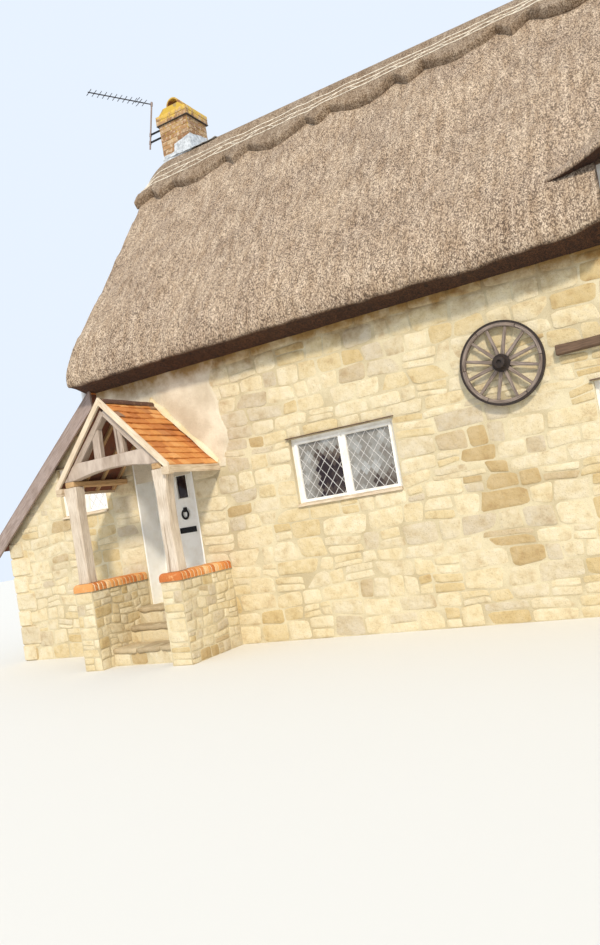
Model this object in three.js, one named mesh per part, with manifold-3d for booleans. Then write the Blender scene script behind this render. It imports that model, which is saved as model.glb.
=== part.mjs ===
// Thatched stone cottage with a gabled porch at the left end of its front, a tiled lean-to beyond it,
// and an eyebrow in the thatch over the upper window. Millimetres. X runs along the front from left to
// right, Y into the house and Z up. Sizes along Y are counted from the front face and heights from the
// lowest ground, and the finished group is moved so that its origin is under the middle of the house.
import * as THREE from "three";
import { mergeVertices } from "three/addons/utils/BufferGeometryUtils.js";
import Module from "manifold-3d";

const wasm = await Module();
wasm.setup();

// House
const FIT = 0.3; // clearance between pieces that fit round or rest on each other
const DEPTH = 4800; // from the front face to the back face
const HALF_LENGTH = 7700; // from the middle to the outer face of a gable wall
const WALL = 500; // thickness of the front and back walls up to the upper floor
const UPPER_WALL = 440; // their thickness above it, which leaves a ledge for the floor
const GABLE = 400; // thickness of the gable walls
const THRESHOLD = 650; // ground floor level above the lowest ground
const UPPER_FLOOR = 2950; // underside of the upper floor
const UPPER_FLOOR_THICK = 150;
const WALL_TOP = 3850;
const MIDDLE = DEPTH / 2;

// Thatch
const PITCH = THREE.MathUtils.degToRad(52.5);
const SLOPE = Math.tan(PITCH);
const EAVE_OUT = 420; // how far the eave stands out from the wall
const NOSE = [
  [-EAVE_OUT, WALL_TOP],
  [-436, 3920],
  [-432, 4010],
  [-400, 4110],
  [-340, 4230],
];
const SURFACE_AT_WALL = 4705; // height of the thatch surface over the front face
const THATCH_RISE = 740; // thickness of thatch and rafters, measured straight up
const VERGE_OUT = 150; // how far the thatch passes the gable wall
const THATCH_HALF = HALF_LENGTH + VERGE_OUT;
const RIDGE_Z = SURFACE_AT_WALL + SLOPE * MIDDLE;

// Eyebrow over the upper window
const UPPER_WINDOW = { half: 650, sill: WALL_TOP, head: 4600 };
const BROW = { half: 1700, top: 5010, back: 1400, foot: 100, slope: THREE.MathUtils.degToRad(30) };
const BROW_LIP = { middle: 4660, drop: 240, reach: 990, half: 1400 }; // its lower edge, an arch
const BROW_RETREAT = { by: 190, at: 1100 }; // how far its front has drawn back at that place

// Ridge cap
const CAP_THICK = 125;
const CAP_TOP = 8000;
const CAP_BAY = 1467; // from one short point to the next, with a long swag between them
const CAP_BAYS = 5; // to each side of the point over the middle
const CAP_POINT_SHARE = 0.14; // half a point's width as a share of a bay
const CAP_CUSP = { middle: 330, end: 740 }; // slope covered at the cusps, at the middle and the ends
const CAP_DROP = 260; // how much lower the swags and points reach
const CAP_SAMPLES = [-0.5, -0.42, -0.32, -0.22, -0.14, 0, 0.14, 0.22, 0.32, 0.42];

// Doorway and door
const DOORWAY = { left: -7240, right: -6230, head: 2650 };
const DOOR = { gap: 8, thick: 44, face: 400, bottom: 662, jamb: 56 };
const LINING = { thick: 20, back: 370, stop: 12 };
const HINGE = { reach: 40, thick: 3, radius: 6, height: 45, out: 8, web: 8 };
const HINGE_LEVELS = [900, 2300];
const DOOR_PANE = { wide: 176, bottom: 2057, top: 2382, thick: 4 };
const KNOCKER = { z: 1825, ring: 50, rod: 9, stretch: 1.25, out: 14 };
const KNOCKER_BOSS = { wide: 48, out: 30, bottom: 1860, top: 1920 };
const KNOCKER_STUD = { wide: 24, out: 20, bottom: 1750, top: 1780 };
const LETTER_PLATE = { wide: 290, bottom: 1560, top: 1640, thick: 12 };

// Windows
const FRAME_WIDE = 62;
const FRAME_DEEP = 60;
const FRAME_SET_BACK = 60;
const MULLION = 70;
const GLASS = 6;
const SIDE_WINDOW = { centre: 3965, half: 705, sill: 1650, head: 2500 };
const MIDDLE_WINDOW = { centre: 0, half: 1000, sill: 1650, head: 2420 };

// Chimneys
const STACK = { outer: 7515, inner: 6930, front: 2360, back: 2925, top: 8740 };
const STACK_WIDENS = 7100;
const BAND = { out: 30, bottom: 8580 };
const FLAUNCH = { height: 110, inset: 130 };
const CAP_TILE = { radius: 130, wall: 22, length: 430 };

// Porch
const PORCH = { middle: -6700, front: -1050, half: 950, ridge: 3420, over: 10 };
const PORCH_SLOPE = 1.06;
const PORCH_ROOF_RISE = 95; // thickness of tiles and boards, measured straight up
const POST = { size: 170, inner: 650 };
const PLATE = { wide: 150, bottom: 2390, top: 2460 };
const TIE = { deep: 120, top: 2680, arch: 60, archHalf: 620 };
const RAFTER_RISE = 130;
const STRUT = { wide: 130, offset: 185, inset: 10, sunk: 20 };
const RAFTER_FOOT = 30; // how far a rafter runs past the end of the tie beam's top
const BARGE = { thick: 36, rise: 90, proud: 12 };
const DWARF = { inner: 570, thick: 300, top: 1015, front: -1100 };
const COPING = { top: 1120, over: 20, round: 45 };
const STEP_FRONTS = [-880, -500, -280];
const SILL_STONE = 50; // how far the stone in the doorway stands out from the wall

// Lean-to
const LEAN_TO = { left: -9930, depth: 3600, wall: 350, high: 3800, slope: 0.8, over: 170, proud: 100 };
const LEAN_TO_RISE = 141; // thickness of its roof, measured straight up
const LEAN_TO_BARGE = { thick: 36, rise: 250, proud: 15 };
const LEAN_TO_WINDOW = { left: -8700, right: -7800, sill: 2060, head: 2800 };

// Things on the wall and roof
const PIPE = { left: -8045, right: -7925, front: 20, back: 140, top: 4000 };
const WHEEL = { x: -1870, z: 2810, radius: 460, rim: 62, deep: 60, out: 40 };
const SPOKES = { count: 12, wide: 36, deep: 34, sunk: 20 };
const HUB = { radius: 85, nose: 55, length: 200 };
const WALL_TIMBER = { half: 1300, out: 90, bottom: 2755, top: 2865 };
const MAST = { y: 2400, footX: -7810, footZ: 8300, topX: -7620, topZ: 9090, size: 30 };
const BRACKETS = [8410, 8540];
const BRACKET_SIZE = 24;
const BOOM = { turn: THREE.MathUtils.degToRad(245), length: 1160, size: 18, drop: 40 };
const RODS = { count: 11, length: 200, size: 8, first: 138 };

const X = new THREE.Vector3(1, 0, 0);
const Y = new THREE.Vector3(0, 1, 0);
const Z = new THREE.Vector3(0, 0, 1);
const PLANES = {
  xy: new THREE.Matrix4(),
  yz: new THREE.Matrix4().makeBasis(Y, Z, X),
  xz: new THREE.Matrix4().makeBasis(X, Z, Y.clone().negate()),
};

function box(x0, x1, y0, y1, z0, z1) {
  const geometry = new THREE.BoxGeometry(x1 - x0, y1 - y0, z1 - z0);
  return geometry.translate((x0 + x1) / 2, (y0 + y1) / 2, (z0 + z1) / 2);
}

// An outline drawn in one plane and carried along the third axis from one place to another.
function prism(plane, outline, from, to) {
  const shape = new THREE.Shape(outline.map(([a, b]) => new THREE.Vector2(a, b)));
  const geometry = new THREE.ExtrudeGeometry(shape, { depth: to - from, bevelEnabled: false });
  geometry.translate(0, 0, plane === "xz" ? -to : from);
  return geometry.applyMatrix4(PLANES[plane]);
}

// Points evenly spread from one value to another, ends included.
function spread(from, to, count) {
  return Array.from({ length: count + 1 }, (_, i) => from + ((to - from) * i) / count);
}

function solid(geometry) {
  const bare = geometry.clone();
  bare.deleteAttribute("normal");
  bare.deleteAttribute("uv");
  const merged = mergeVertices(bare, 1e-3);
  return new wasm.Manifold(
    new wasm.Mesh({
      numProp: 3,
      vertProperties: new Float32Array(merged.attributes.position.array),
      triVerts: new Uint32Array(merged.index.array),
    }),
  );
}

function fromSolid(body) {
  const mesh = body.getMesh();
  const geometry = new THREE.BufferGeometry();
  geometry.setAttribute("position", new THREE.BufferAttribute(mesh.vertProperties, 3));
  geometry.setIndex(new THREE.BufferAttribute(mesh.triVerts, 1));
  return geometry;
}

function join(first, ...others) {
  return fromSolid(others.reduce((body, other) => body.add(solid(other)), solid(first)));
}

function cut(first, ...others) {
  return fromSolid(others.reduce((body, other) => body.subtract(solid(other)), solid(first)));
}

function overlap(first, second) {
  return fromSolid(solid(first).intersect(solid(second)));
}

// A box between two places along X given in either order.
function boxAcross(a, b, y0, y1, z0, z1) {
  return box(Math.min(a, b), Math.max(a, b), y0, y1, z0, z1);
}

// Half a turn about the upright line through the middle of the house: front pieces become back pieces.
function turned(geometry) {
  return geometry.clone().translate(0, -MIDDLE, 0).rotateZ(Math.PI).translate(0, MIDDLE, 0);
}

const cottage = new THREE.Group();

function paint(colour, roughness, metalness = 0) {
  return () => new THREE.MeshStandardMaterial({ color: colour, roughness, metalness });
}

const finish = {
  stone: paint(0xe3cf9d, 0.92),
  thatch: paint(0xa08f7c, 0.98),
  ridge: paint(0xb09a80, 0.98),
  brick: paint(0xb98d5f, 0.9),
  clay: paint(0xc9713a, 0.85),
  coping: paint(0xc8692f, 0.85),
  oak: paint(0xc4b5a4, 0.85),
  darkWood: paint(0x4a3f3a, 0.85),
  boards: paint(0x9d8b8a, 0.85),
  floor: paint(0x8a6f52, 0.8),
  white: paint(0xf2f2f5, 0.4),
  glass: paint(0x9fb0b8, 0.05),
  iron: paint(0x1b1b1d, 0.5, 0.6),
  aluminium: paint(0x8c9094, 0.4, 0.9),
};

function piece(name, geometry, material, parent = cottage) {
  const mesh = new THREE.Mesh(geometry, finish[material]());
  mesh.name = name;
  parent.add(mesh);
  return mesh;
}

// Walls
function windowHole({ centre, half, sill, head }) {
  return box(centre - half - FIT, centre + half + FIT, -WALL, 2 * WALL, sill - FIT, head + FIT);
}

// The back of the wall steps in above the upper floor's underside.
function frontWall(left, right, bottom) {
  const outline = [
    [0, bottom],
    [WALL, bottom],
    [WALL, UPPER_FLOOR],
    [UPPER_WALL, UPPER_FLOOR],
    [UPPER_WALL, WALL_TOP],
    [0, WALL_TOP],
  ];
  return prism("yz", outline, left, right);
}

const LEFT_SIDE_WINDOW = { ...SIDE_WINDOW, centre: -SIDE_WINDOW.centre };

function addLongWalls() {
  piece("front_wall_left", frontWall(-HALF_LENGTH, DOORWAY.left, 0), "stone");
  piece("front_wall_over_door", frontWall(DOORWAY.left, DOORWAY.right, DOORWAY.head), "stone");
  const holes = [LEFT_SIDE_WINDOW, MIDDLE_WINDOW, SIDE_WINDOW].map(windowHole);
  piece("front_wall", cut(frontWall(DOORWAY.right, HALF_LENGTH, 0), ...holes), "stone");
  const backHoles = [LEFT_SIDE_WINDOW, SIDE_WINDOW].map(windowHole);
  piece("back_wall", turned(cut(frontWall(-HALF_LENGTH, HALF_LENGTH, 0), ...backHoles)), "stone");
}

function surfaceAt(y) {
  return SURFACE_AT_WALL + SLOPE * y;
}

function undersideAt(y) {
  return surfaceAt(y) - THATCH_RISE;
}

function addGables() {
  const outline = [
    [WALL, 0],
    [DEPTH - WALL, 0],
    [DEPTH - WALL, undersideAt(WALL) - 2 * FIT],
    [MIDDLE, undersideAt(MIDDLE) - 2 * FIT],
    [WALL, undersideAt(WALL) - 2 * FIT],
  ];
  piece("left_gable_wall", prism("yz", outline, -HALF_LENGTH, GABLE - HALF_LENGTH), "stone");
  piece("right_gable_wall", prism("yz", outline, HALF_LENGTH - GABLE, HALF_LENGTH), "stone");
}

// Floors
const INNER_HALF = HALF_LENGTH - GABLE;

function stackHole() {
  const { outer, inner, front, back } = STACK;
  return box(-outer - FIT, -inner + FIT, front - FIT, back + FIT, 0, 2 * CAP_TOP);
}

function addFloors() {
  piece("ground_floor", box(-INNER_HALF, INNER_HALF, WALL, DEPTH - WALL, 0, THRESHOLD), "floor");
  const top = UPPER_FLOOR + UPPER_FLOOR_THICK;
  const edge = UPPER_WALL + FIT;
  const half = INNER_HALF - FIT;
  const slab = box(-half, half, edge, DEPTH - edge, UPPER_FLOOR, top);
  piece("upper_floor", cut(slab, stackHole(), turned(stackHole())), "floor");
}

// Thatch
function mainThatch() {
  const front = [
    ...NOSE.slice().reverse(),
    [WALL, WALL_TOP + FIT],
    [WALL, undersideAt(WALL)],
  ];
  const back = front.map(([y, z]) => [DEPTH - y, z]).reverse();
  const outline = [[MIDDLE, RIDGE_Z], ...front, [MIDDLE, undersideAt(MIDDLE)], ...back];
  return prism("yz", outline, -THATCH_HALF, THATCH_HALF);
}

function browTop(x) {
  const foot = surfaceAt(-EAVE_OUT);
  return foot + (BROW.top - foot) * Math.cos((Math.PI * x) / (2 * BROW.half)) ** 2;
}

function browLip(x) {
  return BROW_LIP.middle - BROW_LIP.drop * (x / BROW_LIP.reach) ** 2;
}

// The eyebrow's back rises into the roof at its own shallower slope, its lip is an arch, its front
// curves back at both ends, and nothing of it hangs below the thatch's underside.
function brow() {
  const { half, back, foot, slope } = BROW;
  const across = spread(-half, half, 20);
  const bottom = surfaceAt(-EAVE_OUT) - foot;
  const rise = [[half, bottom], [-half, bottom], ...across.map((x) => [x, browTop(x)])];
  const hump = prism("xz", rise, 0, back + EAVE_OUT);
  const lean = new THREE.Matrix4();
  lean.set(1, 0, 0, 0, 0, 1, 0, 0, 0, Math.tan(slope), 1, 0, 0, 0, 0, 1);
  hump.applyMatrix4(lean).translate(0, -EAVE_OUT, 0);
  const reach = spread(-BROW_LIP.half, BROW_LIP.half, 16);
  const ends = [[BROW_LIP.half, THRESHOLD], [-BROW_LIP.half, THRESHOLD]];
  const under = [...ends, ...reach.map((x) => [x, browLip(x)])];
  const { by, at } = BROW_RETREAT;
  const front = across.map((x) => [x, -EAVE_OUT + by * (x / at) ** 2]);
  const plan = [...front, [half, back], [-half, back]];
  const lipped = cut(hump, prism("xz", under, -2 * EAVE_OUT, back));
  const reachOut = [-2 * EAVE_OUT, back];
  const above = reachOut.map((y) => [y, undersideAt(y)]);
  above.push([back, CAP_TOP], [-2 * EAVE_OUT, CAP_TOP]);
  const hood = overlap(lipped, prism("yz", above, -half, half));
  return overlap(hood, prism("xy", plan, THRESHOLD, CAP_TOP));
}

// Room before and over the upper window, down past the eave.
function browVoid() {
  const { half, head } = UPPER_WINDOW;
  return box(-half - FIT, half + FIT, -2 * EAVE_OUT, BROW.half / 3, THRESHOLD, head + FIT);
}

function addThatch() {
  const humped = join(mainThatch(), brow(), turned(brow()));
  const opened = cut(humped, browVoid(), turned(browVoid()), stackHole(), turned(stackHole()));
  piece("thatch_roof", opened, "thatch");
}

// Length of slope that the ridge cap covers at X: short points and long swags meet in cusps, and the
// cap widens from the middle to both ends.
function capLength(x) {
  const bay = x / CAP_BAY;
  const away = Math.abs(bay - Math.round(bay));
  const swag = (away - CAP_POINT_SHARE) / (0.5 - CAP_POINT_SHARE);
  const drop = away < CAP_POINT_SHARE ? 1 - away / CAP_POINT_SHARE : Math.sin((Math.PI / 2) * swag);
  const cusp = THREE.MathUtils.lerp(CAP_CUSP.middle, CAP_CUSP.end, Math.abs(x) / THATCH_HALF);
  return cusp + CAP_DROP * drop;
}

function capEdge() {
  const bays = spread(-CAP_BAYS, CAP_BAYS, 2 * CAP_BAYS);
  const inner = bays.flatMap((bay) => CAP_SAMPLES.map((share) => (bay + share) * CAP_BAY));
  const places = [-THATCH_HALF, ...inner.filter((x) => Math.abs(x) < THATCH_HALF), THATCH_HALF];
  return places.map((x) => [x, -capLength(x)]);
}

function capSlope() {
  const outline = [...capEdge(), [THATCH_HALF, CAP_THICK * 2], [-THATCH_HALF, CAP_THICK * 2]];
  const slab = prism("xy", outline, FIT, CAP_THICK);
  const up = new THREE.Vector3(0, Math.cos(PITCH), Math.sin(PITCH));
  slab.applyMatrix4(new THREE.Matrix4().makeBasis(X, up, X.clone().cross(up)));
  slab.translate(0, MIDDLE, RIDGE_Z);
  return overlap(slab, box(-THATCH_HALF, THATCH_HALF, -DEPTH, MIDDLE, 0, CAP_TOP));
}

function addRidgeCap() {
  const both = join(capSlope(), turned(capSlope()));
  piece("ridge_cap", cut(both, stackHole(), turned(stackHole())), "ridge");
}

// Chimneys: the stack stands on the ground floor against the gable wall and widens inside the thatch.
function stack() {
  const { outer, inner, front, back, top } = STACK;
  const { out, bottom } = BAND;
  const shaft = box(-INNER_HALF + FIT, -inner, front, back, THRESHOLD, top);
  const upper = box(-outer, -inner, front, back, STACK_WIDENS, top);
  const band = box(-outer - out, -inner + out, front - out, back + out, bottom, top);
  const outline = [
    [-outer, top - 1],
    [-inner, top - 1],
    [-inner - FLAUNCH.inset, top + FLAUNCH.height],
    [-outer + FLAUNCH.inset, top + FLAUNCH.height],
  ];
  return join(shaft, upper, band, prism("xz", outline, front, back));
}

function capTile() {
  const { radius, wall, length } = CAP_TILE;
  const arc = (r, from, to) =>
    spread(from, to, 10).map((a) => [r * Math.cos(a), r * Math.sin(a)]);
  const outline = [...arc(radius, 0, Math.PI), ...arc(radius - wall, Math.PI, 0)];
  const middle = (STACK.front + STACK.back) / 2;
  const tile = prism("xz", outline, middle - length / 2, middle + length / 2);
  return tile.translate(-(STACK.outer + STACK.inner) / 2, 0, STACK.top + FLAUNCH.height + FIT);
}

function addChimneys() {
  piece("left_chimney", stack(), "brick");
  piece("right_chimney", turned(stack()), "brick");
  piece("left_chimney_cap", capTile(), "clay");
  piece("right_chimney_cap", turned(capTile()), "clay");
}

// A square bar between two points.
function bar(from, to, size) {
  const length = from.distanceTo(to);
  const geometry = new THREE.BoxGeometry(size, size, length);
  const turn = new THREE.Quaternion().setFromUnitVectors(Z, to.clone().sub(from).normalize());
  const middle = from.clone().add(to).multiplyScalar(0.5);
  return geometry.applyQuaternion(turn).translate(middle.x, middle.y, middle.z);
}

function mastAt(z) {
  const t = (z - MAST.footZ) / (MAST.topZ - MAST.footZ);
  return new THREE.Vector3(THREE.MathUtils.lerp(MAST.footX, MAST.topX, t), MAST.y, z);
}

function addMast() {
  const onStack = (z) => new THREE.Vector3(-STACK.outer - FIT, MAST.y, z);
  const brackets = BRACKETS.map((z) => bar(mastAt(z), onStack(z), BRACKET_SIZE));
  const mast = bar(mastAt(MAST.footZ), mastAt(MAST.topZ), MAST.size);
  piece("aerial_mast", join(mast, ...brackets), "aluminium");
}

// The boom points away from the house, with a row of short rods across it.
function addBoom() {
  const along = new THREE.Vector3(Math.cos(BOOM.turn), Math.sin(BOOM.turn), 0);
  const across = new THREE.Vector3(-along.y, along.x, 0);
  const hub = mastAt(MAST.topZ - BOOM.drop);
  const onBoom = (distance) => hub.clone().addScaledVector(along, distance);
  const clear = MAST.size / 2 + FIT + (BOOM.size / 2) * Math.abs(across.y);
  const boom = bar(onBoom(clear / Math.abs(along.y)), onBoom(BOOM.length), BOOM.size);
  const rods = spread(RODS.first, BOOM.length - BOOM.size, RODS.count).map((distance) => {
    const middle = onBoom(distance);
    const end = across.clone().multiplyScalar(RODS.length / 2);
    return bar(middle.clone().sub(end), middle.clone().add(end), RODS.size);
  });
  piece("aerial_boom", join(boom, ...rods), "aluminium");
}

// Windows: a frame with its mullions, and one sheet of glass behind it.
function addWindow(name, { centre, half, sill, head }, lights, place) {
  const left = centre - half;
  const right = centre + half;
  const back = FRAME_SET_BACK + FRAME_DEEP;
  const clear = (right - left - 2 * FRAME_WIDE - (lights - 1) * MULLION) / lights;
  const holes = Array.from({ length: lights }, (_, i) => {
    const start = left + FRAME_WIDE + i * (clear + MULLION);
    return box(start, start + clear, 0, WALL, sill + FRAME_WIDE, head - FRAME_WIDE);
  });
  const frame = cut(box(left, right, FRAME_SET_BACK, back, sill, head), ...holes);
  const inset = FRAME_WIDE / 2;
  const front = back + FIT;
  const sheet = box(left + inset, right - inset, front, front + GLASS, sill + inset, head - inset);
  piece(name, place(frame), "white");
  piece(name.replace("window", "glass"), place(sheet), "glass");
}

function addWindows() {
  const still = (geometry) => geometry;
  const upper = { centre: 0, ...UPPER_WINDOW };
  addWindow("front_left_window", LEFT_SIDE_WINDOW, 2, still);
  addWindow("front_middle_window", MIDDLE_WINDOW, 3, still);
  addWindow("front_right_window", SIDE_WINDOW, 2, still);
  addWindow("front_upper_window", upper, 2, still);
  addWindow("back_left_window", LEFT_SIDE_WINDOW, 2, turned);
  addWindow("back_right_window", SIDE_WINDOW, 2, turned);
  addWindow("back_upper_window", upper, 2, turned);
  const { left, right, sill, head } = LEAN_TO_WINDOW;
  const small = { centre: (left + right) / 2, half: (right - left) / 2, sill, head };
  addWindow("lean_to_window", small, 2, still);
}

// Door: it turns inward about the upright line through its hinge barrels on the left.
const LEAF = {
  left: DOORWAY.left + DOOR.jamb + DOOR.gap,
  right: DOORWAY.right - DOOR.jamb - DOOR.gap,
  top: DOORWAY.head - DOOR.jamb - DOOR.gap,
  back: DOOR.face + DOOR.thick,
};
LEAF.middle = (LEAF.left + LEAF.right) / 2;
const HINGE_LINE = { x: LEAF.left - DOOR.gap / 2, y: LEAF.back + HINGE.out };

// One leaf of a hinge on the inner face, with the web that carries its half of the barrel.
function hingeHalf(side, bottom) {
  const { reach, thick, radius, height, web } = HINGE;
  const { x, y } = HINGE_LINE;
  const top = bottom + height;
  const back = LEAF.back;
  const plate = boxAcross(x + side * radius, x + side * reach, back - 1, back + thick, bottom, top);
  const arm = boxAcross(x, x + side * web, back - 1, y, bottom, top);
  const barrel = new THREE.CylinderGeometry(radius, radius, height, 12);
  barrel.rotateX(Math.PI / 2).translate(x, y, bottom + height / 2);
  return join(plate, arm, barrel);
}

function addDoor() {
  const { left, right, top, back, middle } = LEAF;
  const half = DOOR_PANE.wide / 2;
  const leaf = box(left, right, DOOR.face, back, DOOR.bottom, top);
  const { bottom, top: paneTop } = DOOR_PANE;
  const hole = box(middle - half, middle + half, 0, DEPTH, bottom, paneTop);
  const hinges = HINGE_LEVELS.map((z) => hingeHalf(1, z + HINGE.height + FIT));
  piece("front_door", join(cut(leaf, hole), ...hinges), "white");
  const y = (DOOR.face + back - DOOR_PANE.thick) / 2;
  const clear = half - FIT;
  const sheet = [y, y + DOOR_PANE.thick, bottom + FIT, paneTop - FIT];
  piece("door_glass", box(middle - clear, middle + clear, ...sheet), "glass");
}

// A plate or stud on the outer face of the door.
function onDoor({ wide, out, bottom, top }) {
  const face = DOOR.face - FIT;
  return box(LEAF.middle - wide / 2, LEAF.middle + wide / 2, face - out, face, bottom, top);
}

function addDoorFurniture() {
  piece("letter_plate", onDoor({ ...LETTER_PLATE, out: LETTER_PLATE.thick }), "iron");
  const ring = new THREE.TorusGeometry(KNOCKER.ring, KNOCKER.rod, 8, 20).rotateX(Math.PI / 2);
  ring.scale(1, 1, KNOCKER.stretch);
  ring.translate(LEAF.middle, DOOR.face - FIT - KNOCKER.out, KNOCKER.z);
  piece("door_knocker", join(ring, onDoor(KNOCKER_BOSS), onDoor(KNOCKER_STUD)), "iron");
}

// White lining of the recess, and the frame that the door closes into.
function addDoorFrame() {
  const { jamb, face, gap } = DOOR;
  const { thick, back: liningBack, stop } = LINING;
  const left = DOORWAY.left + FIT;
  const right = DOORWAY.right - FIT;
  const head = DOORWAY.head - FIT;
  const back = LEAF.back;
  const inward = (by, front, end) => box(left + by, right - by, front, end, 0, head - by);
  const body = box(left, right, 0, back, THRESHOLD + FIT, head);
  const recess = inward(thick, -1, liningBack);
  const rebate = inward(jamb, face - gap, back + 1);
  const opening = inward(jamb + stop, -1, back + 1);
  const hinges = HINGE_LEVELS.map((z) => hingeHalf(-1, z));
  piece("door_frame", join(cut(body, recess, rebate, opening), ...hinges), "white");
}

// Porch
function porchRoofTop(x) {
  return PORCH.ridge - PORCH_SLOPE * Math.abs(x - PORCH.middle);
}

// A band that follows both slopes of the porch roof, between two heights below the tile surface.
function porchBand(upper, lower, half) {
  const ends = [PORCH.middle - half, PORCH.middle, PORCH.middle + half];
  const top = ends.map((x) => [x, porchRoofTop(x) - upper]);
  const bottom = ends.map((x) => [x, porchRoofTop(x) - lower]).reverse();
  return [...top, ...bottom];
}

function copingOutline(left, right) {
  const { top, over, round } = COPING;
  const bottom = DWARF.top;
  const side = (x, sign) =>
    spread(0, Math.PI / 2, 4).map((a) => [
      x + sign * round * (1 - Math.cos(a)),
      top - round + round * Math.sin(a),
    ]);
  const outerLeft = left - over;
  const outerRight = right + over;
  const foot = [[outerRight, bottom], [outerLeft, bottom]];
  return [...foot, ...side(outerLeft, 1), ...side(outerRight, -1).reverse()];
}

function addDwarfWall(name, side) {
  const near = PORCH.middle + side * DWARF.inner;
  const far = near + side * DWARF.thick;
  const [left, right] = [Math.min(near, far), Math.max(near, far)];
  piece(name + "_wall", box(left, right, DWARF.front, -FIT, 0, DWARF.top), "stone");
  const coping = prism("xz", copingOutline(left, right), DWARF.front - COPING.over, -FIT);
  piece(name + "_coping", coping, "coping");
  const inner = PORCH.middle + side * POST.inner;
  const outer = inner + side * POST.size;
  const [postLeft, postRight] = [Math.min(inner, outer), Math.max(inner, outer)];
  const back = PORCH.front + POST.size;
  piece(name + "_post", box(postLeft, postRight, PORCH.front, back, COPING.top, PLATE.bottom), "oak");
  const middle = (postLeft + postRight) / 2;
  const half = PLATE.wide / 2;
  const along = [PORCH.front, -FIT, PLATE.bottom, PLATE.top];
  const plate = box(middle - half, middle + half, ...along);
  piece(name + "_plate", plate, "oak");
}

// Tie beam with an arched underside, two rafters and two struts, all in one plane.
function addTruss() {
  const roofUnder = PORCH_ROOF_RISE + 2 * FIT;
  const tieHalf = (PORCH.ridge - roofUnder - PLATE.top) / PORCH_SLOPE;
  const shoulder = (PORCH.ridge - roofUnder - TIE.top) / PORCH_SLOPE;
  const { middle, front } = PORCH;
  const arch = spread(TIE.archHalf, -TIE.archHalf, 10).map((x) => {
    const rise = TIE.arch * (1 - (x / TIE.archHalf) ** 2);
    return [middle + x, PLATE.top + rise];
  });
  const tie = [
    [middle - tieHalf, PLATE.top],
    [middle - shoulder, TIE.top],
    [middle + shoulder, TIE.top],
    [middle + tieHalf, PLATE.top],
    ...arch,
  ];
  const back = front + TIE.deep;
  const rafters = porchBand(roofUnder, roofUnder + RAFTER_RISE, shoulder + RAFTER_FOOT);
  const struts = [-1, 1].map((side) => {
    const x = middle + side * STRUT.offset;
    const [left, right] = [x - STRUT.wide / 2, x + STRUT.wide / 2];
    const foot = TIE.top - STRUT.sunk;
    const head = (at) => [at, porchRoofTop(at) - roofUnder - RAFTER_RISE / 2];
    const outline = [[left, foot], [right, foot], head(right), head(left)];
    return prism("xz", outline, front + STRUT.inset, back - STRUT.inset);
  });
  const joined = join(prism("xz", tie, front, back), prism("xz", rafters, front, back), ...struts);
  piece("porch_truss", joined, "oak");
}

function addPorchRoof() {
  const front = PORCH.front - PORCH.over;
  const slopes = porchBand(0, PORCH_ROOF_RISE, PORCH.half);
  piece("porch_roof", prism("xz", slopes, front, -FIT), "clay");
  const boards = porchBand(-BARGE.proud, BARGE.rise, PORCH.half);
  piece("porch_barge", prism("xz", boards, front - BARGE.thick - FIT, front - FIT), "oak");
}

// Three steps between the dwarf walls, and the sill stone in the doorway.
function addSteps() {
  const rise = THRESHOLD / STEP_FRONTS.length;
  const outline = [[0, 0]];
  STEP_FRONTS.forEach((front, i) => outline.push([front, i * rise], [front, (i + 1) * rise]));
  outline.push([0, THRESHOLD]);
  const half = DWARF.inner - FIT;
  const flight = prism("yz", outline, PORCH.middle - half, PORCH.middle + half);
  const [left, right] = [DOORWAY.left + FIT, DOORWAY.right - FIT];
  const sill = box(left, right, -SILL_STONE, WALL - FIT, 0, THRESHOLD);
  const trimmed = overlap(flight, box(-THATCH_HALF, 0, DWARF.front, -FIT, 0, THRESHOLD));
  piece("porch_steps", join(trimmed, sill), "stone");
}

// Lean-to
function leanToTop(x) {
  return LEAN_TO.high + LEAN_TO.slope * (x + HALF_LENGTH);
}

function leanToBand(upper, lower) {
  const ends = [LEAN_TO.left - LEAN_TO.over, -HALF_LENGTH - FIT];
  const top = ends.map((x) => [x, leanToTop(x) - upper]);
  const bottom = ends.map((x) => [x, leanToTop(x) - lower]).reverse();
  return [...top, ...bottom];
}

function leanToWall(left, right) {
  const under = LEAN_TO_RISE + 2 * FIT;
  return [
    [left, 0],
    [right, 0],
    [right, leanToTop(right) - under],
    [left, leanToTop(left) - under],
  ];
}

function addLeanTo() {
  const { left, depth, wall, proud } = LEAN_TO;
  const right = -HALF_LENGTH - FIT;
  const window = LEAN_TO_WINDOW;
  const hole = box(
    window.left - FIT,
    window.right + FIT,
    -WALL,
    WALL,
    window.sill - FIT,
    window.head + FIT,
  );
  piece("lean_to_front_wall", cut(prism("xz", leanToWall(left, right), 0, wall), hole), "stone");
  piece("lean_to_back_wall", prism("xz", leanToWall(left, right), depth - wall, depth), "stone");
  piece("lean_to_end_wall", prism("xz", leanToWall(left, left + wall), wall, depth - wall), "stone");
  piece("lean_to_roof", prism("xz", leanToBand(0, LEAN_TO_RISE), -proud, depth + proud), "clay");
  const board = leanToBand(-LEAN_TO_BARGE.proud, LEAN_TO_BARGE.rise);
  const front = -proud - FIT;
  piece("lean_to_barge", prism("xz", board, front - LEAN_TO_BARGE.thick, front), "boards");
}

// White pipe that stands on the lean-to roof, its foot cut to the slope.
function addPipe() {
  const { left, right, front, back, top } = PIPE;
  const outline = [
    [left, leanToTop(left) + FIT],
    [right, leanToTop(right) + FIT],
    [right, top],
    [left, top],
  ];
  piece("vent_pipe", prism("xz", outline, front, back), "white");
}

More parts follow.
